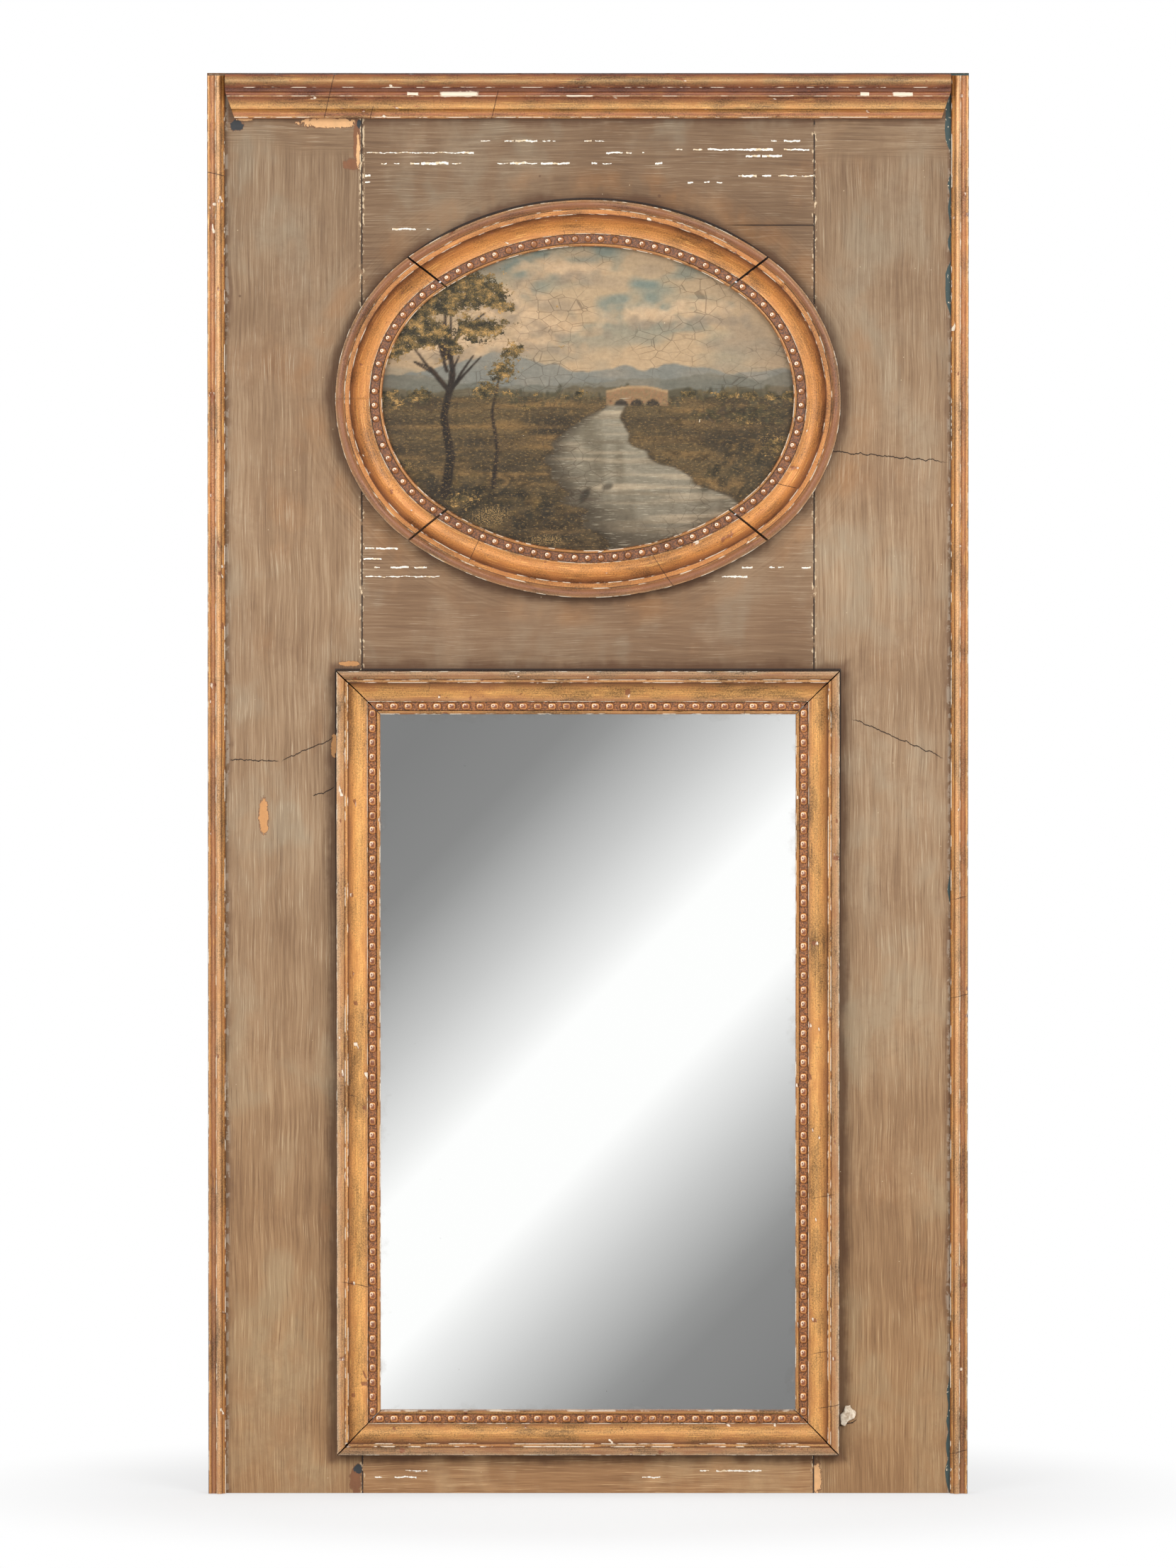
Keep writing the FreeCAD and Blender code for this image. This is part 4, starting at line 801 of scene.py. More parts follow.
def strip_of_beads(name, blank, strip, spots, seed):
    """Copies the bead to each spot (place, turn) and joins the copies to the strip."""
    chance = np.random.default_rng(seed)
    half_length, half_width = blank.dimensions.x / 2, blank.dimensions.z / 2
    bare = np.full(len(strip.data.vertices), 3.0)
    asides, aboves, tones = [bare], [bare], [bare * 0]
    copies = []
    for place, turn in spots:
        swell = Matrix.Diagonal((*(1 + chance.uniform(-0.08, 0.04, 3)), 1))
        lean = Matrix.Rotation(turn + chance.normal(0, 0.06), 4, "Y")
        copy = copied(blank, Matrix.Translation(place) @ lean @ swell)
        shape = places(copy) - np.array(place)
        upright = abs(math.sin(turn)) > 0.7
        asides.append(shape[:, 0] / (half_width if upright else half_length))
        aboves.append(shape[:, 2] / (half_length if upright else half_width))
        tones.append(np.full(len(shape), chance.uniform(0, 1)))
        copies.append(copy)
    strip.name = name
    for piece, aside, above, tone in zip((strip, *copies), asides, aboves, tones):
        note(piece, "aside", aside)
        note(piece, "above", above)
        note(piece, "tone", tone)
    pick(strip, *copies)
    bpy.ops.object.join()
    return strip


def strip_section(channel):
    """The section of the strip that fills the channel between two places across the frame, in millimetres."""
    start, end = channel
    floor, top = CHANNEL_FLOOR / MM, (CHANNEL_FLOOR + STRIP_THICKNESS) / MM
    return [(start, floor), (start, top), (end, top), (end, floor)]


def bead_finish(name, squareness, top, ring, shoulder, foot, chip_and_glint=0.9):
    """Colours from the middle of a bead's top out to the dirt at its foot, a pale ring brighter on the upper
    left as painted highlight, and a pale mark above left that is a gesso chip and a painted glint.
    """
    gilt = Finish(name)
    aside, above, tone = gilt.attribute("aside"), gilt.attribute("above"), gilt.attribute("tone")
    reach = (abs(aside) ** squareness + abs(above) ** squareness) ** (1 / squareness)
    rough = gilt.clouds(800, 800, 800, roughness=0.7)
    patchy = gilt.clouds(150, 150, 150, detail=2)
    level = reach + (rough - 0.5) * 0.2 + (patchy - 0.5) * 0.2
    colour = gilt.ramp(level / 2, [(0, top), (1, foot), (0.26, top), (0.36, shoulder), (0.47, shoulder),
                                   (0.52, foot)])
    # The pale ring round the shoulder is painted highlight, strongest on the upper left.
    lit_side = above * 0.7 - aside * 0.5 + (patchy - 0.5) * 2.4
    line = gilt.band(abs(level - 0.66), 0.15, 0.05) * (0.3 + 0.7 * gilt.band(lit_side, -0.3, 0.4))
    colour = gilt.mix(line, colour, ring)
    strip = gilt.mix(gilt.band(rough, 0.42, 0.6), foot, shoulder)
    colour = gilt.mix(gilt.band(reach, 1.5, 2.0), colour, strip)
    colour = gilt.shade(colour, 0.72 + tone * 0.25 + rough * 0.4)
    # A pale C-shaped mark above left of each bead: a gesso chip and a painted glint.
    off_aside, off_above = aside + 0.16 + tone * 0.2, above - 0.22
    bow = ((off_aside * off_aside + off_above * off_above) ** 0.5 - 0.36 - (rough - 0.5) * 0.3)
    gesso = gilt.band(abs(bow), 0.20, 0.09) * gilt.band(above * 0.8 - aside * 0.6 + (patchy - 0.5), -0.1, 0.2)
    gesso = gesso * gilt.band(tone + (patchy - 0.5), 0.0, 0.2)
    colour = gilt.mix(gesso * chip_and_glint, colour, (250, 232, 208))
    return gilt.finish(Base_Color=colour, Roughness=0.26 + rough * 0.3, Metallic=0.15,
                       Normal=gilt.bump(rough, 0.0004, 0.4), Specular_IOR_Level=0.55)


CHANNEL = (30.2, 38.3)
CHANNEL_FLOOR = 5 * MM
STRIP_THICKNESS = 1.2 * MM
BEAD_PITCH = 13.6 * MM
mirror_bead = bead_blank("mirror_bead", 8.2 * MM, 6.6 * MM, 3 * MM, 2.2 * MM, 2)
mirror_bead_gilding = bead_finish("mirror_bead_gilding", 4, (132, 74, 42), (222, 168, 108),
                                  (176, 110, 56), (104, 62, 32), 0.55)
for order, (side, (start, run, inward)) in enumerate(frame_sides.items()):
    middle = sum(CHANNEL) / 2 * MM
    strip = mitred_length("bead_strip", strip_section(CHANNEL), start, run, inward, (9,), 0)
    along = run.normalized()
    room = run.length - 2 * middle
    count = int(room / BEAD_PITCH)
    turn = 0 if side in ("top", "bottom") else math.pi / 2
    level = Vector((0, -CHANNEL_FLOOR - STRIP_THICKNESS, 0))
    spots = [(start + inward * middle + level + along * (middle + (index + 0.5) * room / count), turn)
             for index in range(count)]
    beads = strip_of_beads(f"mirror_bead_course_{side}", mirror_bead, strip, spots, 10 + order)
    smooth(beads, 50)
    dress(beads, mirror_bead_gilding)
    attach(beads, "panel")
    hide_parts(f"mirror_beads_{side}")
bpy.data.objects.remove(mirror_bead)


# ---------------------------------------------------------------- oval frame
# Four turned lengths with the mirror frame's section, sawn to an oval of four arcs and butted together on
# lines through the oval's centre. The joints have opened; grime lies in the cove and dulls the leaf.
OVAL_WIDTH = 45 * MM
END_RADIUS = 165.21 * MM
END_CENTRE = OVAL_HALF[0] - END_RADIUS
WIDE_RADIUS = (END_CENTRE ** 2 + OVAL_HALF[1] ** 2 - END_RADIUS ** 2) / (2 * (OVAL_HALF[1] - END_RADIUS))
WIDE_CENTRE = WIDE_RADIUS - OVAL_HALF[1]
END_SWEEP = math.degrees(math.atan2(WIDE_CENTRE, END_CENTRE))
OVAL_JOINT = 38.2
OVERRUN = 7
oval_profile = [(0, 0), (0, 21.0), *curve_points((0, 21.0), (8.9, 21.0), 0.30, 10), (9.1, 19.4), (9.4, 18.9),
                (14.0, 18.9), (14.3, 18.2), *curve_points((14.4, 18.2), (32.2, 9.0), -0.16, 14), (32.5, 9.6),
                (33.0, 9.4), (33.2, 5.0), (41.8, 5.0), (42.1, 8.2),
                *curve_points((42.1, 8.2), (44.8, 8.0), 0.22, 4), (45, 7.4), (45, 0)]
# The dark stops in the grooves beside the lip and the fillet are grime and painted shade.
oval_gilding = gilding("oval_gilding", OVAL_WIDTH, [
    (0.0, (96, 60, 42), 0.6), (0.015, (206, 166, 126), 0.3), (0.05, (180, 130, 88), 0.55),
    (0.11, (164, 108, 74), 0.6), (0.18, (176, 118, 74), 0.5), (0.196, (214, 168, 118), 0.3),
    (0.208, (108, 64, 42), 0.7), (0.225, (206, 140, 74), 0.2), (0.30, (196, 126, 62), 0.25),
    (0.318, (104, 60, 38), 0.8), (0.36, (158, 96, 50), 0.5), (0.45, (200, 128, 60), 0.2),
    (0.60, (214, 144, 72), 0.1), (0.69, (206, 138, 70), 0.3), (0.728, (222, 168, 108), 0.2),
    (0.742, (134, 82, 46), 0.5), (0.92, (142, 88, 48), 0.5), (0.94, (206, 146, 82), 0.3),
    (1.0, (168, 108, 60), 0.4)], arrises=(0.5, 9.2, 14.2, 32.8, 44.6), bole=0.55)


def heading(degrees):
    return Vector((math.cos(math.radians(degrees)), 0, math.sin(math.radians(degrees))))


def oval_centre_of(kind):
    """The centre and radius of one of the four arcs."""
    offsets = {"right": (END_CENTRE, 0), "left": (-END_CENTRE, 0),
               "top": (0, -WIDE_CENTRE), "bottom": (0, WIDE_CENTRE)}
    across, up = offsets[kind]
    return Vector((across, 0, OVAL_CENTRE + up)), END_RADIUS if kind in ("right", "left") else WIDE_RADIUS


def oval_length(name, profile, sweeps, joints):
    """One length of the oval: the section is spun round each arc in turn, then sawn at the two joints."""
    kind, first, last = sweeps[0]
    centre, radius = oval_centre_of(kind)
    out = heading(first)
    corners = [centre + out * (radius - across * MM) + Vector((0, FRONT - height * MM, 0))
               for across, height in profile]
    piece = section_face(name, corners)
    edit(piece)
    take_all()
    for kind, first, last in sweeps:
        centre, radius = oval_centre_of(kind)
        steps = max(1, round(radius * math.radians(last - first) / (2.4 * MM)))
        bpy.ops.mesh.spin(steps=steps, angle=math.radians(last - first), center=centre, axis=(0, 1, 0))
    take_all()
    bpy.ops.mesh.remove_doubles(threshold=0.01 * MM)
    face_out()
    middle = Vector((0, 0, OVAL_CENTRE))
    for angle, way in zip(joints, (1, -1)):
        beyond = heading(angle - 90 * way)
        saw(middle - beyond * (MITRE_GAP * 1.2), beyond)
    leave_edit()
    return piece


def oval_measures(spots):
    """How far in from the oval's outer edge each place is, and a length along the oval."""
    turned = spots - np.array((0, 0, OVAL_CENTRE))
    side, up = turned[:, 0], turned[:, 2]
    wide = np.degrees(np.arctan2(abs(up) + WIDE_CENTRE, abs(side)))
    in_end = wide < END_SWEEP
    to_end = np.hypot(abs(side) - END_CENTRE, up)
    to_wide = np.hypot(side, abs(up) + WIDE_CENTRE)
    inward = np.where(in_end, END_RADIUS - to_end, WIDE_RADIUS - to_wide)
    return inward, np.arctan2(up, side) * 0.21


oval_sweeps = {
    "right": [("bottom", -END_SWEEP - OVERRUN, -END_SWEEP), ("right", -END_SWEEP, END_SWEEP),
              ("top", END_SWEEP, END_SWEEP + OVERRUN)],
    "top": [("top", END_SWEEP - 2, 182 - END_SWEEP)],
    "left": [("top", 180 - END_SWEEP - OVERRUN, 180 - END_SWEEP), ("left", 180 - END_SWEEP, 180 + END_SWEEP),
             ("bottom", 180 + END_SWEEP, 180 + END_SWEEP + OVERRUN)],
    "bottom": [("bottom", 178 + END_SWEEP, 362 - END_SWEEP)],
}
oval_joints = {"right": (-OVAL_JOINT, OVAL_JOINT), "top": (OVAL_JOINT, 180 - OVAL_JOINT),
               "left": (180 - OVAL_JOINT, 180 + OVAL_JOINT), "bottom": (180 + OVAL_JOINT, 360 - OVAL_JOINT)}
for side, sweeps in oval_sweeps.items():
    length = oval_length(f"gilt_oval_frame_{side}", oval_profile, sweeps, oval_joints[side])
    age(length, oval_gilding, *oval_measures(places(length)), soot=0.1)
    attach(length, "panel")
    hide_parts(f"oval_frame_{side}")


# ---------------------------------------------------------------- oval beads
# The same kind of bead course as round the mirror, but the beads are round and smaller, on a strip that
# bends with the oval. Dark bole and dirt lie round each one, with a paler ring and a white mark on the upper
# left of each as painted highlights, the mark partly a gesso chip.
OVAL_CHANNEL = (33.4, 41.6)
OVAL_PITCH = 12.6 * MM
oval_bead = bead_blank("oval_bead", 6.4 * MM, 6.4 * MM, 3 * MM, 2.6 * MM, 2)
oval_bead_gilding = bead_finish("oval_bead_gilding", 2, (138, 84, 44), (186, 126, 72),
                                (150, 92, 48), (90, 54, 32))
ARC_STARTS = {"right": -END_SWEEP, "top": END_SWEEP, "left": 180 - END_SWEEP, "bottom": 180 + END_SWEEP}
for order, (side, (first, last)) in enumerate(oval_joints.items()):
    middle = sum(OVAL_CHANNEL) / 2 * MM
    course = []
    for step in range(-720, 721):
        angle = (first + last) / 2 + step / 4
        turned = (angle + END_SWEEP) % 360 - END_SWEEP
        kind = [name for name, begin in ARC_STARTS.items() if begin <= turned + 1e-9][-1]
        centre, radius = oval_centre_of(kind)
        place = centre + heading(angle) * (radius - middle)
        seen = math.degrees(math.atan2(place.z - OVAL_CENTRE, place.x))
        if abs((seen - (first + last) / 2 + 180) % 360 - 180) < (last - first) / 2 - 0.1:
            course.append((place, math.radians(angle)))
    lengths = np.cumsum([0] + [(second[0] - one[0]).length for one, second in zip(course, course[1:])])
    strip = oval_length("bead_strip", strip_section(OVAL_CHANNEL), oval_sweeps[side], oval_joints[side])
    count = int(lengths[-1] / OVAL_PITCH)
    spots = []
    for index in range(count):
        nearest = int(np.argmin(abs(lengths - (index + 0.5) * lengths[-1] / count)))
        place, angle = course[nearest]
        spots.append((place + Vector((0, FRONT - CHANNEL_FLOOR - STRIP_THICKNESS, 0)), -angle))
    beads = strip_of_beads(f"oval_bead_course_{side}", oval_bead, strip, spots, 20 + order)
    smooth(beads, 50)
    dress(beads, oval_bead_gilding)
    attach(beads, "panel")
    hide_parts(f"oval_beads_{side}")
bpy.data.objects.remove(oval_bead)


# ---------------------------------------------------------------- painted panel
# The oval picture is oil on a thin wooden panel, a landscape with a river, painted in browns and dull
# greens and varnished. The paint has fine cracks and small losses. Its edge lies under the oval frame.
PICTURE_HALF = (0.202, 0.151)
PICTURE_INSET = 38 * MM
PICTURE_THICKNESS = 6 * MM
CANVAS_WIDE, CANVAS_HIGH = 420, 316
HORIZON = 2.0
VARNISH = (0.91, 0.87, 0.83)
chance = np.random.default_rng(41)
right, upward = np.meshgrid(np.arange(CANVAS_WIDE) - CANVAS_WIDE / 2 + 0.5,
                            CANVAS_HIGH / 2 - np.arange(CANVAS_HIGH) - 0.5)


def unit(levels):
    return np.clip(levels, 0, 1)


def between(grid, row, column, share_down, share_across):
    """The grid's values between its rows and columns."""
    upper, lower = (grid[at, column] * (1 - share_across) + grid[at, column + 1] * share_across
                    for at in (row, row + 1))
    return upper * (1 - share_down) + lower * share_down


def haze(wide, high):
    """Soft random patches of the given size in millimetres, from 0 to 1."""
    columns, rows = int(CANVAS_WIDE / wide) + 3, int(CANVAS_HIGH / high) + 3
    knots = chance.random((rows, columns))
    across, down = (right + CANVAS_WIDE / 2) / wide, (CANVAS_HIGH / 2 - upward) / high
    column, row = across.astype(int), down.astype(int)
    share_across, share_down = across - column, down - row
    share_across = share_across * share_across * (3 - 2 * share_across)
    share_down = share_down * share_down * (3 - 2 * share_down)
    return between(knots, row, column, share_down, share_across)


def lay(mask, colour):
    """Lays a colour over the canvas where the mask is, thinly where the mask is low."""
    canvas[:] += unit(mask)[..., None] * (np.array(colour, float) - canvas)


def dab(across, up, length, width, turn, colour, strength=0.8):
    """One touch of the brush, in millimetres from the middle of the picture."""
    reach = int(max(length, width) * 1.2) + 2
    column, row = int(across + CANVAS_WIDE / 2), int(CANVAS_HIGH / 2 - up)
    rows = slice(max(row - reach, 0), max(row + reach, 0))
    columns = slice(max(column - reach, 0), max(column + reach, 0))
    aside, above = right[rows, columns] - across, upward[rows, columns] - up
    cosine, sine = math.cos(turn), math.sin(turn)
    along = (aside * cosine + above * sine) / length
    over = (above * cosine - aside * sine) / width
    share = unit(1.3 - along * along - over * over) * strength
    canvas[rows, columns] += share[..., None] * (np.array(colour, float) - canvas[rows, columns])


def touches(count, spread_across, spread_up, middle, sizes, turn, colours, strength=0.7):
    """A cloud of dabs around a middle, in one of the colours each."""
    for _ in range(count):
        across, up = chance.normal(0, 1, 2)
        length, width = chance.uniform(*sizes), chance.uniform(*sizes) * 0.55
        colour = np.array(colours[chance.integers(len(colours))], float) + chance.normal(0, 5)
        dab(middle[0] + across * spread_across, middle[1] + up * spread_up, length, width,
            turn + chance.normal(0, 0.5), colour, strength * chance.uniform(0.6, 1))


def limb(points, thick, thin, colour, lit):
    """A trunk or branch through points, lit along one side."""
    reach = np.cumsum([0] + [math.dist(*pair) for pair in zip(points, points[1:])])
    for spot in np.arange(0, reach[-1], 0.8):
        share = spot / reach[-1]
        across = np.interp(spot, reach, [point[0] for point in points])
        up = np.interp(spot, reach, [point[1] for point in points])
        width = thick + (thin - thick) * share
        dab(across, up, width, width, 0, np.array(colour) + chance.normal(0, 4), 0.95)
        dab(across + width * 0.4, up, width * 0.35, width * 0.5, 0, np.array(lit) + chance.normal(0, 8), 0.6)


def mound(layer, across, up, wide, high, strength=1.0):
    """Raises a soft round hump in a layer of levels."""
    reach = ((right - across) / wide) ** 2 + ((upward - up) / high) ** 2
    layer += np.exp(-reach * 1.6) * strength


canvas = np.zeros((CANVAS_HIGH, CANVAS_WIDE, 3)) + (188.0, 166.0, 136.0)
height = unit((upward - HORIZON) / 145)
lay(unit(height * 1.5 - 0.15 + abs(right) / 900) * 0.95, (124, 140, 134))
billows = haze(90, 40) * 0.5 + haze(38, 17) * 0.35 + haze(15, 7) * 0.25
lay(unit((billows - 0.46) * 5) * (height > 0) * 0.9, (196, 172, 138))
greyer = haze(90, 30) * 0.5 + haze(30, 12) * 0.5
lay(unit((greyer - 0.55) * 5) * unit(height * 3) * 0.6, (158, 144, 124))
for _ in range(9):
    bank = (chance.uniform(-170, 170), chance.uniform(40, 132))
    touches(60, 26, 4, bank, (4, 11), 0.05, [(210, 184, 150), (214, 190, 158), (198, 172, 138)], 0.4)
    touches(30, 24, 2.5, (bank[0] + 4, bank[1] - 8), (4, 10), 0.05, [(146, 136, 120), (154, 140, 120)], 0.3)
ridges = [((-205, 18, -150, 24, -90, 44, -40, 30, 20, 26, 80, 34, 130, 24, 210, 30), (126, 132, 128)),
          ((-205, 26, -120, 14, -30, 16, 40, 18, 110, 26, 160, 20, 210, 28), (108, 112, 104)),
          ((-205, 9, -60, 7, 40, 10, 120, 8, 210, 13), (82, 78, 60))]
for outline, colour in ridges:
    crest = np.interp(right[0], outline[0::2], outline[1::2]) + (haze(22, 400)[0] - 0.5) * 7
    crest = crest + (haze(6, 400)[0] - 0.5) * 2.4
    below = unit((crest - upward) / 1.5)
    lay(below * unit((upward - HORIZON + 60) / 60), colour)
    lay(below * haze(26, 9) * 0.4 * (upward > HORIZON), (188, 170, 146))
ground = unit((HORIZON - upward) / 2)
lay(ground, (96, 82, 56))
lay(ground * unit(haze(60, 9) * 1.8 - 0.4), (62, 54, 40))
lay(ground * unit(haze(44, 5) * 2 - 1.1), (140, 112, 70))


def river_middle(depth):
    return 52 - 74 * np.sin(depth * 3.6 + 0.2) * (1 - depth * 0.25) + 66 * depth


depth = unit((HORIZON - upward) / 150)
bend = river_middle(depth)
breadth = 6 + 126 * depth ** 1.15 + (haze(30, 8) - 0.5) * 34 * depth ** 0.6
river = unit((breadth - abs(right - bend)) / 2.5) * (upward < HORIZON)
lay(river, (146, 142, 126))
lay(river * unit(haze(10, 44) * 2.2 - 1.0) * 0.55, (92, 84, 66))
lay(river * unit(depth * 1.5 - 0.5) * 0.7, (126, 120, 106))
lay(river * unit(haze(60, 3.0) * 1.9 - 1.0) * 0.8, (210, 194, 166))
lay(river * unit(haze(46, 4) * 2 - 1.1) * 0.7, (112, 102, 84))
edge_of_water = unit(1 - abs(breadth - abs(right - bend)) / (2 + 6 * depth)) * (upward < HORIZON)
lay(edge_of_water * 0.85 * (haze(12, 5) * 0.7 + 0.3), (60, 50, 38))
shade_on_water = river * unit((bend - right) / breadth - 0.42) * 2.2
lay(shade_on_water * 0.8, (74, 66, 52))
for _ in range(70):
    across, up = chance.uniform(-200, 200), HORIZON + chance.uniform(-4, 4)
    touches(7, 4, 2.4, (across, up), (1.5, 4), 1.3, [(84, 80, 58), (66, 64, 48), (110, 98, 68)], 0.75)
BRIDGE_LEFT, BRIDGE_LONG = 18, 58
for step in range(BRIDGE_LONG * 2):
    across = BRIDGE_LEFT + step / 2
    top = 7.0 + 4.5 * math.sin(step / (BRIDGE_LONG * 2 - 1) * math.pi)
    for rise in np.arange(-6, top, 0.8):
        hole = min(math.hypot(across - BRIDGE_LEFT - spot, (rise + 7) * 1.1) for spot in (14, 29, 44)) < 6.5
        stone = (62, 54, 44) if hole else (150 + chance.normal(0, 9), 122, 90)
        if rise > top - 1.7:
            stone = (184, 156, 118)
        dab(across, rise, 0.9, 0.8, 0, stone, 0.9)
for _ in range(1100):
    across, deep = chance.uniform(-205, 205), chance.uniform(0.05, 1) ** 0.8
    up = HORIZON - deep * 148
    if abs(across - river_middle(deep)) < 10 + 118 * deep ** 1.15:
        continue
    shade = chance.uniform(0.5, 1.15) * (1 - 0.45 * deep)
    dab(across, up, 2 + 7 * deep, 0.8 + 1.6 * deep, chance.normal(0, 0.3), np.array((132, 108, 68)) * shade,
        0.6)
touches(380, 50, 12, (-150, -100), (3, 11), 0.5, [(50, 46, 34), (66, 58, 40), (44, 40, 32), (104, 86, 52)],
        0.8)
touches(260, 26, 16, (186, -70), (3, 9), 0.9, [(52, 48, 36), (70, 62, 42), (112, 90, 54)], 0.8)
touches(110, 30, 4, (150, -16), (2, 6), 0.6, [(72, 68, 46), (100, 88, 56), (58, 54, 40)], 0.8)
limb([(-136, -92), (-130, -56), (-137, -18), (-128, 22), (-134, 66)], 4.6, 1.8, (38, 31, 25), (132, 98, 66))
for _ in range(16):
    start = (chance.uniform(-136, -128), chance.uniform(-6, 60))
    way = chance.uniform(-1.2, 1.2)
    fork = (start[0] + way * 16, start[1] + 18)
    tip = (start[0] + way * 34, start[1] + 30 + chance.uniform(-6, 12))
    limb([start, fork, tip], 1.8, 0.7, (40, 33, 27), (118, 88, 58))
limb([(-90, -84), (-86, -48), (-91, -14), (-84, 22)], 2.4, 0.9, (44, 36, 29), (130, 98, 66))
leaves, reeds = np.zeros((2, CANVAS_HIGH, CANVAS_WIDE))
for across, up, wide, high in [(-166, 80, 22, 17), (-130, 98, 24, 15), (-98, 66, 19, 11), (-90, 98, 17, 11),
                               (-184, 50, 13, 15), (-146, 56, 18, 9), (-82, 26, 15, 12), (-70, 46, 11, 8),
                               (-172, 106, 18, 11), (-112, 112, 20, 9), (-98, 10, 9, 6)]:
    mound(leaves, across, up, wide * 1.25, high * 1.25, 1.1)
for _ in range(120):
    mound(leaves, chance.normal(-132, 36), chance.normal(78, 26), chance.uniform(4, 10), chance.uniform(3, 7),
          0.45)
for _ in range(70):
    across = chance.uniform(-205, 205)
    if not 8 < across < 84:
        up = HORIZON + chance.uniform(-2, 4)
        mound(leaves, across, up, chance.uniform(4, 10), chance.uniform(2, 6), 0.6)
BUSHES = [(-180, -66, 26, 15), (-120, -96, 24, 11), (178, -44, 22, 15), (196, -84, 20, 22), (150, -22, 14, 6),
          (-60, -8, 18, 4), (-186, -6, 22, 9), (128, 4, 12, 5), (96, 3, 8, 4)]
for hump in BUSHES:
    mound(leaves, *hump, 0.8)
for hump in [(-92, -112, 34, 18), (168, -104, 34, 20), (-40, -134, 30, 9), (120, -128, 26, 11)]:
    mound(reeds, *hump)
canvas += ((haze(5, 2.2) - 0.5) * 8 + (haze(2.2, 4) - 0.5) * 6)[..., None]
rim = unit(((right / 196) ** 2 + (upward / 145) ** 2 - 0.66) * 1.6)
lay(rim * 0.35, (84, 72, 58))
canvas = np.clip(canvas * VARNISH, 0, 255)

picture = new_piece(bpy.ops.mesh.primitive_grid_add, "landscape_panel", size=2, rotation=UPRIGHT,
                    x_subdivisions=360, y_subdivisions=264)
spots = places(picture)
side, up = spots[:, 0].copy(), spots[:, 2].copy()
disc_side, disc_up = side * np.sqrt(1 - up * up / 2), up * np.sqrt(1 - side * side / 2)
turns = np.arctan2(disc_up * PICTURE_HALF[1], disc_side * PICTURE_HALF[0])
reaches = np.linspace(0.12, 0.26, 1500)
headings = np.linspace(-math.pi, math.pi, 721)
edge_reach = []
for cosine, sine in zip(np.cos(headings), np.sin(headings)):
    line = np.stack([reaches * cosine, reaches * 0, OVAL_CENTRE + reaches * sine], axis=1)
    edge_reach.append(np.interp(0, PICTURE_INSET - oval_measures(line)[0], reaches))
wanted_reach = np.interp(turns, headings, edge_reach)
ellipse_reach = 1 / np.sqrt((np.cos(turns) / PICTURE_HALF[0]) ** 2 + (np.sin(turns) / PICTURE_HALF[1]) ** 2)
swelling = wanted_reach / ellipse_reach
spots[:, 0] = disc_side * PICTURE_HALF[0] * swelling
spots[:, 1] = FRONT
spots[:, 2] = OVAL_CENTRE + disc_up * PICTURE_HALF[1] * swelling
picture.data.vertices.foreach_set("co", spots.ravel())
edit(picture)
bpy.ops.mesh.select_mode(type="EDGE")
bpy.ops.mesh.select_all(action="DESELECT")
bpy.ops.mesh.select_non_manifold(extend=False, use_wire=False, use_boundary=True, use_multi_face=False,
                                 use_non_contiguous=False, use_verts=False)
bpy.ops.mesh.extrude_edges_move(TRANSFORM_OT_translate={"value": (0, PICTURE_THICKNESS, 0)})
bpy.ops.mesh.edge_face_add()
face_out()
leave_edit()
spots = places(picture)
columns = np.clip(spots[:, 0] / MM + CANVAS_WIDE / 2 - 0.5, 0, CANVAS_WIDE - 1.01)
rows = np.clip(CANVAS_HIGH / 2 - 0.5 - (spots[:, 2] - OVAL_CENTRE) / MM, 0, CANVAS_HIGH - 1.01)
column, row = columns.astype(int), rows.astype(int)
note(picture, "leaves", unit(leaves[row, column]))
note(picture, "reeds", unit(reeds[row, column]))
note(picture, "water", unit(river[row, column] - leaves[row, column]))
picked = linear(between(canvas, row, column, (rows - row)[:, None], (columns - column)[:, None]))
paint_layer = picture.data.attributes.new("paint", "FLOAT_COLOR", "POINT")
paint_layer.data.foreach_set("color", np.concatenate([picked, np.ones((len(picked), 1))], axis=1).ravel())

oil = Finish("oil_paint")
x, y, z = oil.axes()
painted = oil.node("ShaderNodeAttribute", {"attribute_name": "paint"}, output="Color")
strokes = oil.clouds(160, 1, 420, detail=4, roughness=0.65)
weave = oil.clouds(500, 1, 500, detail=2)
cracks = oil.cells(70, 1, 110, feature="DISTANCE_TO_EDGE")
crack = oil.band(cracks, 0.030, 0.010) * oil.band(oil.clouds(14, 1, 14), 0.42, 0.6)
loss = oil.band(oil.clouds(120, 1, 120), 0.745, 0.76)
leaves, reeds, water = (oil.attribute(name) for name in ("leaves", "reeds", "water"))
colour = oil.shade(painted, 0.86 + strokes * 0.28)
ripples = oil.noise(oil.joined(x * 70, 0, z * 900), roughness=0.6)
colour = oil.mix(oil.band(ripples, 0.56, 0.68) * water * 0.35, colour, (206, 194, 168))
colour = oil.mix(oil.band(ripples, 0.42, 0.32) * water * 0.35, colour, (96, 88, 72))
tufts = oil.clouds(230, 1, 290, detail=5, roughness=0.75)
lit = oil.clouds(760, 1, 900, roughness=0.7)
clumps = oil.clouds(90, 1, 120)
foliage = oil.ramp(oil.band(lit * 0.7 + clumps * 1.1 + tufts * 0.5, 0.82, 1.45), [
    (0, (30, 27, 19)), (1, (190, 148, 88)), (0.3, (52, 46, 30)), (0.55, (88, 74, 44)),
    (0.8, (134, 106, 62))])
leafy = leaves * 0.8 + (tufts - 0.5) * 2.6 + (lit - 0.5) * 0.8
colour = oil.coat(colour, foliage, leafy, 0.46, 0.54)
blades = oil.noise(oil.joined(x * 780 + (strokes - 0.5) * 3, 0, z * 60), roughness=0.6)
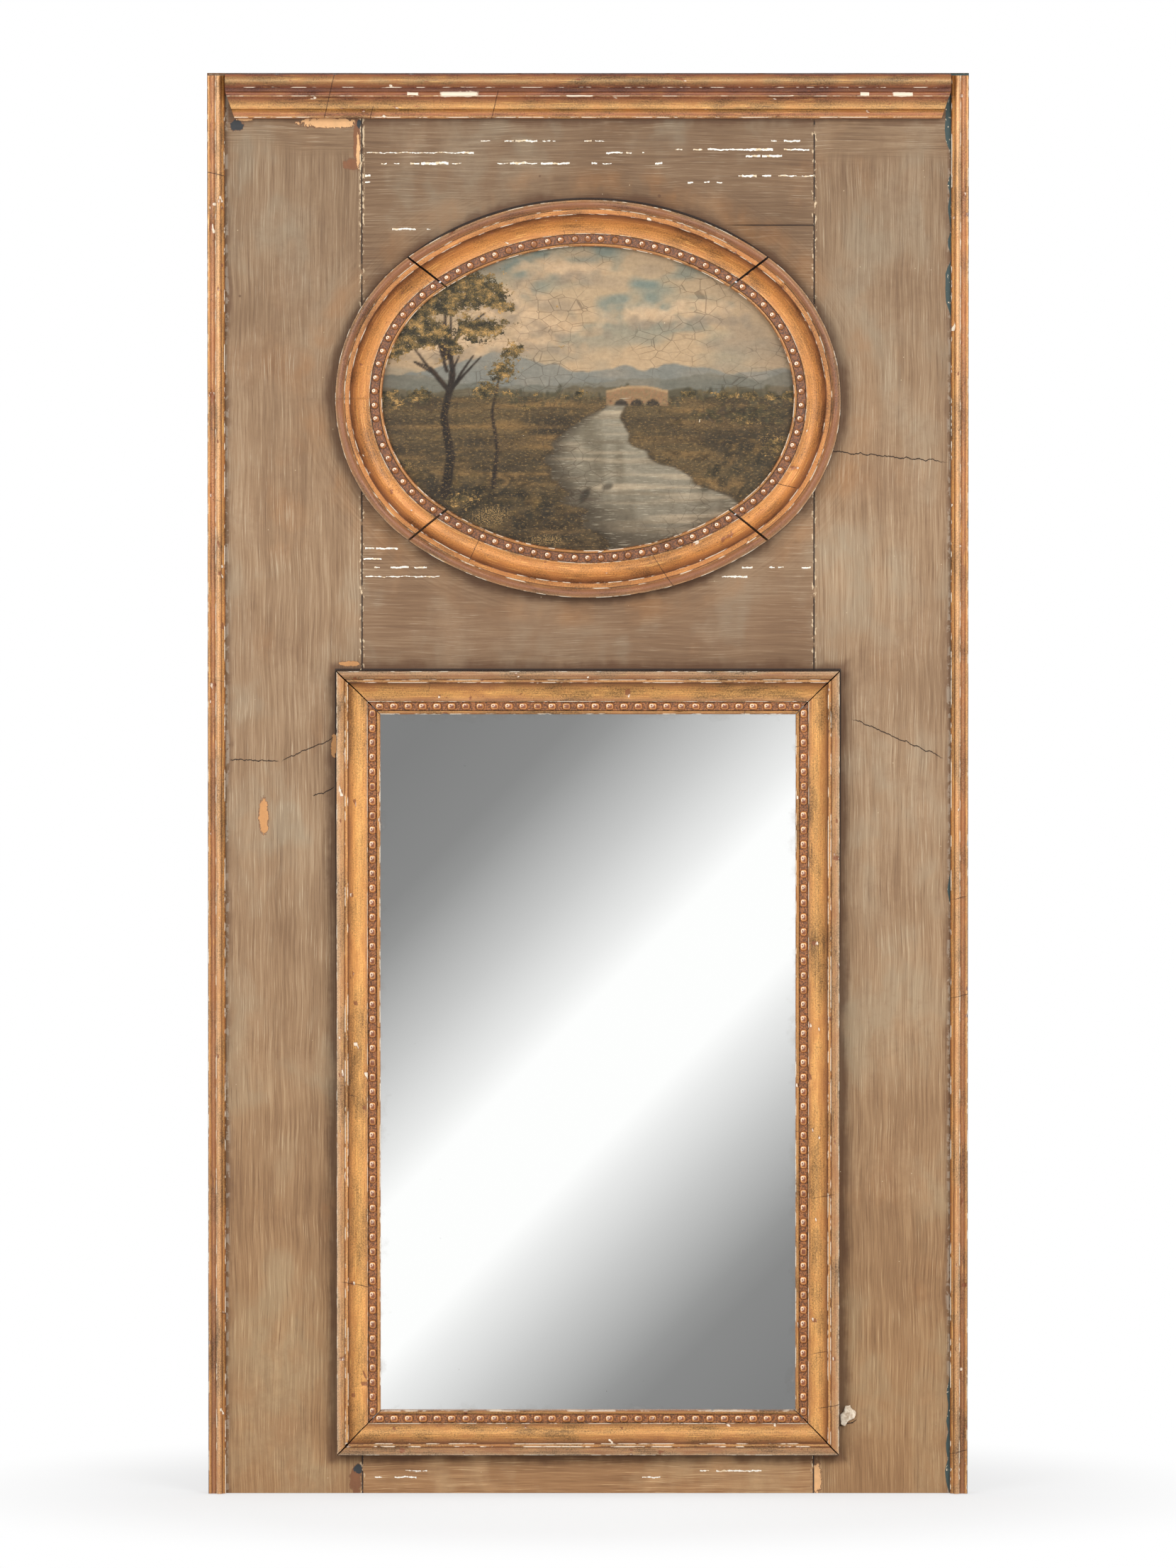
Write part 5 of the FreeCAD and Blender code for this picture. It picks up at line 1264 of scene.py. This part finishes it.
grass = oil.clouds(300, 1, 620, detail=4, roughness=0.7)
land = oil.band(z, OVAL_CENTRE + 0.003, OVAL_CENTRE) * (1 - water)
colour = oil.mix(oil.band(grass, 0.54, 0.64) * land * 0.5, colour, (156, 124, 76))
colour = oil.mix(oil.band(grass, 0.46, 0.36) * land * 0.6, colour, (44, 38, 28))
dapple = oil.clouds(260, 1, 330, detail=4, roughness=0.7)
colour = oil.shade(colour, 0.72 + dapple * 0.56)
blade = oil.band(reeds * 0.5 + blades * 0.9, 0.78, 0.84)
colour = oil.mix(blade, colour, oil.mix(oil.band(lit, 0.45, 0.6), (50, 44, 32), (160, 128, 80)))
colour = oil.mix(crack * 0.45, colour, (66, 50, 38))
colour = oil.mix(loss, colour, (214, 198, 170))
grain = oil.clouds(6, 160, 160, detail=4)
wood = oil.ramp(oil.band(grain, 0.3, 0.7), [(0, (96, 68, 44)), (1, (146, 110, 76))])
colour = oil.mix(oil.band(y, FRONT + 0.0006, FRONT + 0.0002), wood, colour)
picture_oil = oil.finish(Base_Color=colour, Roughness=0.42 + (strokes - 0.5) * 0.2, Specular_IOR_Level=0.2,
                         Normal=oil.bump(strokes + weave * 0.3 - crack, 0.0003, 0.5))
dress(picture, picture_oil)
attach(picture, "panel")
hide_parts("painted_panel")


# ---------------------------------------------------------------- mirror plate
# A plate of old silvered glass, 4 mm thick, held against the frame from behind by glued blocks. The silver
# is clean in the middle, with faint grey foxing along its edges and a few pinhole losses.
PLATE_HALF = (0.205, 0.33925)
plate = Finish("silvered_glass")
x, y, z = plate.axes()
from_edge = (PLATE_HALF[0] - abs(x)).least(PLATE_HALF[1] - abs(z - MIRROR_MIDDLE))
spread = plate.clouds(40, 40, 40, detail=5, roughness=0.65)
fox = plate.band(from_edge + (spread - 0.5) * 0.05, 0.012, -0.004)
pins = plate.band(plate.clouds(260, 260, 260, detail=2), 0.80, 0.83)
silver = plate.mix(fox * 0.3, (252, 253, 252), (170, 160, 146))
silver = plate.mix(pins * 0.5, silver, (120, 110, 96))
front = plate.band(y, 0.0058, 0.0052)
silver = plate.mix(front, (96, 92, 88), silver)
silvered_glass = plate.finish(Base_Color=silver, Metallic=front,
                              Roughness=0.03 + fox * 0.2 + (1 - front) * 0.6)
dress(nodes["mirror_glass"], silvered_glass)


# ---------------------------------------------------------------- glue blocks
# Short offcuts of pine, rubbed into hot glue behind the plate and the painted panel to hold them. They are
# sawn, not planed, and darkened by dust and glue.
block = Finish("block_pine")
grain = block.clouds(30, 30, 260, detail=4, roughness=0.6)
saw = block.clouds(500, 500, 40, detail=2)
stain = block.clouds(25, 25, 25)
wood = block.ramp(block.band(grain, 0.3, 0.72), [(0, (122, 84, 50)), (1, (186, 143, 96))])
wood = block.coat(wood, (104, 72, 42), stain, 0.5, 0.65, 0.6)
block_pine = block.finish(Base_Color=wood, Roughness=0.7 + (saw - 0.5) * 0.3, Specular_IOR_Level=0.3,
                          Normal=block.bump(grain + saw * 0.6, 0.0006, 0.5))
for name, node in nodes.items():
    if "_block_" in name:
        dress(node, block_pine)


# ---------------------------------------------------------------- backboards
# Three upright planks of pine close the back behind the plate. They are planed by hand, grey and brown with
# age, with knots, and are nailed to the rails above and below with square-cut iron nails.
PLANK_WIDTH = 0.1428
plank = Finish("plank_pine")
x, y, z = plank.axes()
which = x.maths("FLOOR", (x + 1.5 * PLANK_WIDTH) / PLANK_WIDTH)
warp = plank.noise(plank.joined(x * 9 + which * 5, y * 9, z * 3), detail=2)
rings = plank.noise(plank.joined(x * 110 + which * 37 + warp * 4, y * 110, z * 1.8 + which * 5), detail=4)
fibres = plank.clouds(900, 900, 14, detail=2)
knot = plank.band(plank.node("ShaderNodeTexVoronoi", inputs={
    "Vector": plank.joined(x * 8 + which * 3.7, y * 2, z * 4.2), "Scale": 1}), 0.09, 0.05)
age = plank.clouds(7, 7, 3)
wood = plank.ramp(plank.band(rings + (fibres - 0.5) * 0.4, 0.32, 0.7),
                  [(0, (102, 74, 50)), (1, (170, 134, 94)), (0.5, (146, 112, 76))])
wood = plank.coat(wood, (112, 96, 80), age, 0.45, 0.65, 0.5)
wood = plank.mix(knot, wood, (70, 46, 30))
from_seam = x.maths("PINGPONG", x + 1.5 * PLANK_WIDTH, PLANK_WIDTH / 2)
wood = plank.coat(wood, (54, 38, 27), from_seam, 0.0022, 0.0008, 0.8)
plank_pine = plank.finish(Base_Color=wood, Roughness=0.68 + (fibres - 0.5) * 0.2, Specular_IOR_Level=0.3,
                          Normal=plank.bump(rings * 0.6 + fibres * 0.5, 0.0007, 0.6))
for name in ("backboard_left", "backboard_middle", "backboard_right"):
    dress(nodes[name], plank_pine)


# ---------------------------------------------------------------- backboard nails
# Forged iron nails with small faceted heads, two at each end of every plank, driven into the rails.
nail = new_piece(bpy.ops.mesh.primitive_cylinder_add, "nail", vertices=7, radius=3.2 * MM, depth=0.8 * MM,
                 rotation=UPRIGHT)
select_edges(nail, lambda first, last: min(first.y, last.y) > 0)
bpy.ops.mesh.bevel(offset=1.4 * MM, segments=1, affect="EDGES")
leave_edit()
NAIL_LEVEL = 0.0252
chance = np.random.default_rng(5)
heads = []
for middle in (-PLANK_WIDTH, 0, PLANK_WIDTH):
    for level in (0.0515, 0.770):
        for aside in (-0.045, 0.045):
            across = middle + aside + chance.normal(0, 0.003)
            place = Vector((across, NAIL_LEVEL, level + chance.normal(0, 0.002)))
            turn = Matrix.Rotation(chance.uniform(0, 6), 4, "Y")
            heads.append(copied(nail, Matrix.Translation(place) @ turn))
bpy.data.objects.remove(nail)
pick(*heads)
bpy.ops.object.join()
nails = bpy.context.object
nails.name = "backboard_nails"
iron = Finish("nail_iron")
rust = iron.clouds(900, 900, 900)
patch = iron.clouds(300, 300, 300, detail=2)
metal = iron.mix(iron.band(rust, 0.45, 0.6), (66, 58, 54), (112, 66, 42))
dress(nails, iron.finish(Base_Color=metal, Roughness=0.5 + rust * 0.4, Normal=iron.bump(rust, 0.0003, 0.6),
                         Metallic=iron.band(patch, 0.6, 0.4) * 0.7))
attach(nails, "panel")


# ---------------------------------------------------------------- hangers
# Two D rings of flat iron hang in barrels rolled from steel straps, which are screwed to the top rail's back.
hanger = Finish("hanger_steel")
scuffs = hanger.clouds(400, 400, 400, detail=4, roughness=0.65)
spots_of_rust = hanger.clouds(110, 110, 110, detail=4, roughness=0.6)
rusty = hanger.band(spots_of_rust, 0.52, 0.62)
steel = hanger.ramp(scuffs, [(0.3, (96, 90, 82)), (0.75, (158, 150, 138))])
steel = hanger.mix(rusty, steel, (104, 66, 42))
hanger_steel = hanger.finish(Base_Color=steel, Roughness=0.34 + scuffs * 0.2 + rusty * 0.3,
                             Metallic=1 - rusty * 0.9, Normal=hanger.bump(scuffs + rusty * 0.5, 0.0002, 0.5))
for name in ("left_hanger_strap", "right_hanger_strap", "left_hanger_ring", "right_hanger_ring"):
    dress(nodes[name], hanger_steel)

STRAP_FACE = 0.021
HANGER_X = 0.15
SCREW_HEIGHTS = (1.3068, 1.3268)
HEAD_MIDDLE = STRAP_FACE + 0.5 * MM
for hand, name in ((-1, "left"), (1, "right")):
    heads = []
    for level in SCREW_HEIGHTS:
        head = new_piece(bpy.ops.mesh.primitive_cylinder_add, "screw_head", vertices=24, radius=3.3 * MM,
                         depth=1 * MM, location=(hand * HANGER_X, HEAD_MIDDLE, level), rotation=UPRIGHT)
        select_edges(head, lambda first, last: min(first.y, last.y) > HEAD_MIDDLE)
        bpy.ops.mesh.bevel(offset=0.7 * MM, segments=3, affect="EDGES")
        slant = Vector((math.cos(level * 900 + hand), 0, math.sin(level * 900 + hand)))
        across = Vector((-slant.z, 0, slant.x))
        middle = Vector((hand * HANGER_X, STRAP_FACE + MM, level))
        for way in (-1, 1):
            take_all()
            bpy.ops.mesh.bisect(plane_co=middle + across * (0.4 * MM * way), plane_no=across)
        leave_edit()
        for face in head.data.polygons:
            face.select = face.normal.y > 0.9 and abs((face.center - middle).dot(across)) < 0.35 * MM
        for group in (head.data.vertices, head.data.edges):
            group.foreach_set("select", [False] * len(group))
        scene.tool_settings.mesh_select_mode = (False, False, True)
        edit(head)
        bpy.ops.mesh.extrude_region_move(TRANSFORM_OT_translate={"value": (0, -0.5 * MM, 0)})
        leave_edit()
        heads.append(head)
    pick(*heads)
    bpy.ops.object.join()
    screws = bpy.context.object
    screws.name = f"{name}_hanger_screws"
    smooth(screws, 30)
    dress(screws, hanger_steel)
    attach(screws, "panel")


# ---------------------------------------------------------------- floor
# A plain white studio floor. The camera sees it pure white away from the object, and the shadow near it.
floor = new_piece(bpy.ops.mesh.primitive_plane_add, "studio_floor", size=60, location=(0, 0, -0.0005))
white = Finish("studio_white")
x, y, z = white.axes()
reach = (x * x + y * y) ** 0.5
glow = white.node("ShaderNodeEmission", inputs={"Color": (1, 1, 1, 1), "Strength": 1}, output="Emission")
mottle = white.clouds(3, 3, 3)
white.finish(Base_Color=white.mix(mottle, (0.86, 0.86, 0.86, 1), (0.9, 0.9, 0.9, 1)), Roughness=0.9,
             Specular_IOR_Level=0.1)
share = white.seen_by("Camera", "Glossy", "Transmission") * (0.62 + 0.38 * white.band(reach, 0.36, 0.7))
dress(floor, white.blend(share, Level(white, white.shader.outputs["BSDF"]), glow))


# ---------------------------------------------------------------- card before the mirror
# A soft grey card with a pale slanting band stands before the plate. Only reflections see it: it gives the
# plate the slanting sheen that tells a mirror from a sheet of paper.
CARD_ZOOM, CARD_DROP = 1.0335, 0.0660
card = new_piece(bpy.ops.mesh.primitive_plane_add, "sheen_card", size=1, location=(0, -0.5, 0.45),
                 rotation=UPRIGHT, scale=(1.5, 0.9, 1))
sheen = Finish("sheen_card")
x, y, z = sheen.axes()
plate_x, plate_z = x / CARD_ZOOM, (z + CARD_DROP) / CARD_ZOOM
slant = abs(plate_x - plate_z + 0.410) * 0.7071
SHEEN = [(0.125, 252), (1, 127), (0.2025, 233), (0.2375, 226), (0.3575, 199), (0.5575, 149), (0.63, 136),
         (0.8575, 127)]
tone = sheen.ramp(slant / 0.4, [(place, (level, level, level)) for place, level in SHEEN])
glow = sheen.node("ShaderNodeEmission", inputs={"Color": tone, "Strength": 1.04}, output="Emission")
clear = sheen.node("ShaderNodeBsdfTransparent", output="BSDF")
beyond = (abs(plate_x) - 0.23).most(abs(plate_z - MIRROR_MIDDLE) - 0.36)
dress(card, sheen.blend(sheen.band(beyond, 0.0, 0.3), glow, clear))
card.visible_camera = card.visible_diffuse = card.visible_shadow = card.visible_transmission = False


# ---------------------------------------------------------------- lamps and camera
# Two wide soft boxes of nearly the same power stand before the object at both sides, above it, in an even
# white room. The lens is long, as in the photograph, and looks down by three degrees.
def soft_box(name, place, size, power):
    lamp = bpy.data.lights.new(name, "AREA")
    lamp.size, lamp.energy = size, power
    holder = bpy.data.objects.new(name, lamp)
    holder.location = place
    holder.rotation_euler = (Vector((0, 0, 0.7)) - Vector(place)).to_track_quat("-Z", "Y").to_euler()
    scene.collection.objects.link(holder)


soft_box("key_light", (1.6, -4.2, 2.2), 1.6, 84)
soft_box("fill_light", (-2.0, -4.4, 1.7), 2.0, 78)

scene.world = bpy.data.worlds.new("studio_room")
room = Finish("studio_room", scene.world)
dimmed = {"Value": room.seen_by("Camera", "Glossy"), "To Min": 0.62}
room.finish(Color=(1, 1, 1, 1), Strength=room.node("ShaderNodeMapRange", inputs=dimmed))

LOOK_AT = Vector((0, 0.002, 0.6755))
DISTANCE = 18
SENSOR, VIEW_HEIGHT = 36, 1.4889
ELEVATION = math.radians(3)
camera = bpy.data.objects.new("camera", bpy.data.cameras.new("camera"))
camera.data.lens = SENSOR * DISTANCE / VIEW_HEIGHT
camera.data.clip_end = 100
camera.location = LOOK_AT + Vector((0, -math.cos(ELEVATION), math.sin(ELEVATION))) * DISTANCE
camera.rotation_euler = (LOOK_AT - camera.location).to_track_quat("-Z", "Y").to_euler()
scene.collection.objects.link(camera)
scene.camera = camera
scene.view_settings.view_transform = "Standard"

bpy.context.view_layer.update()
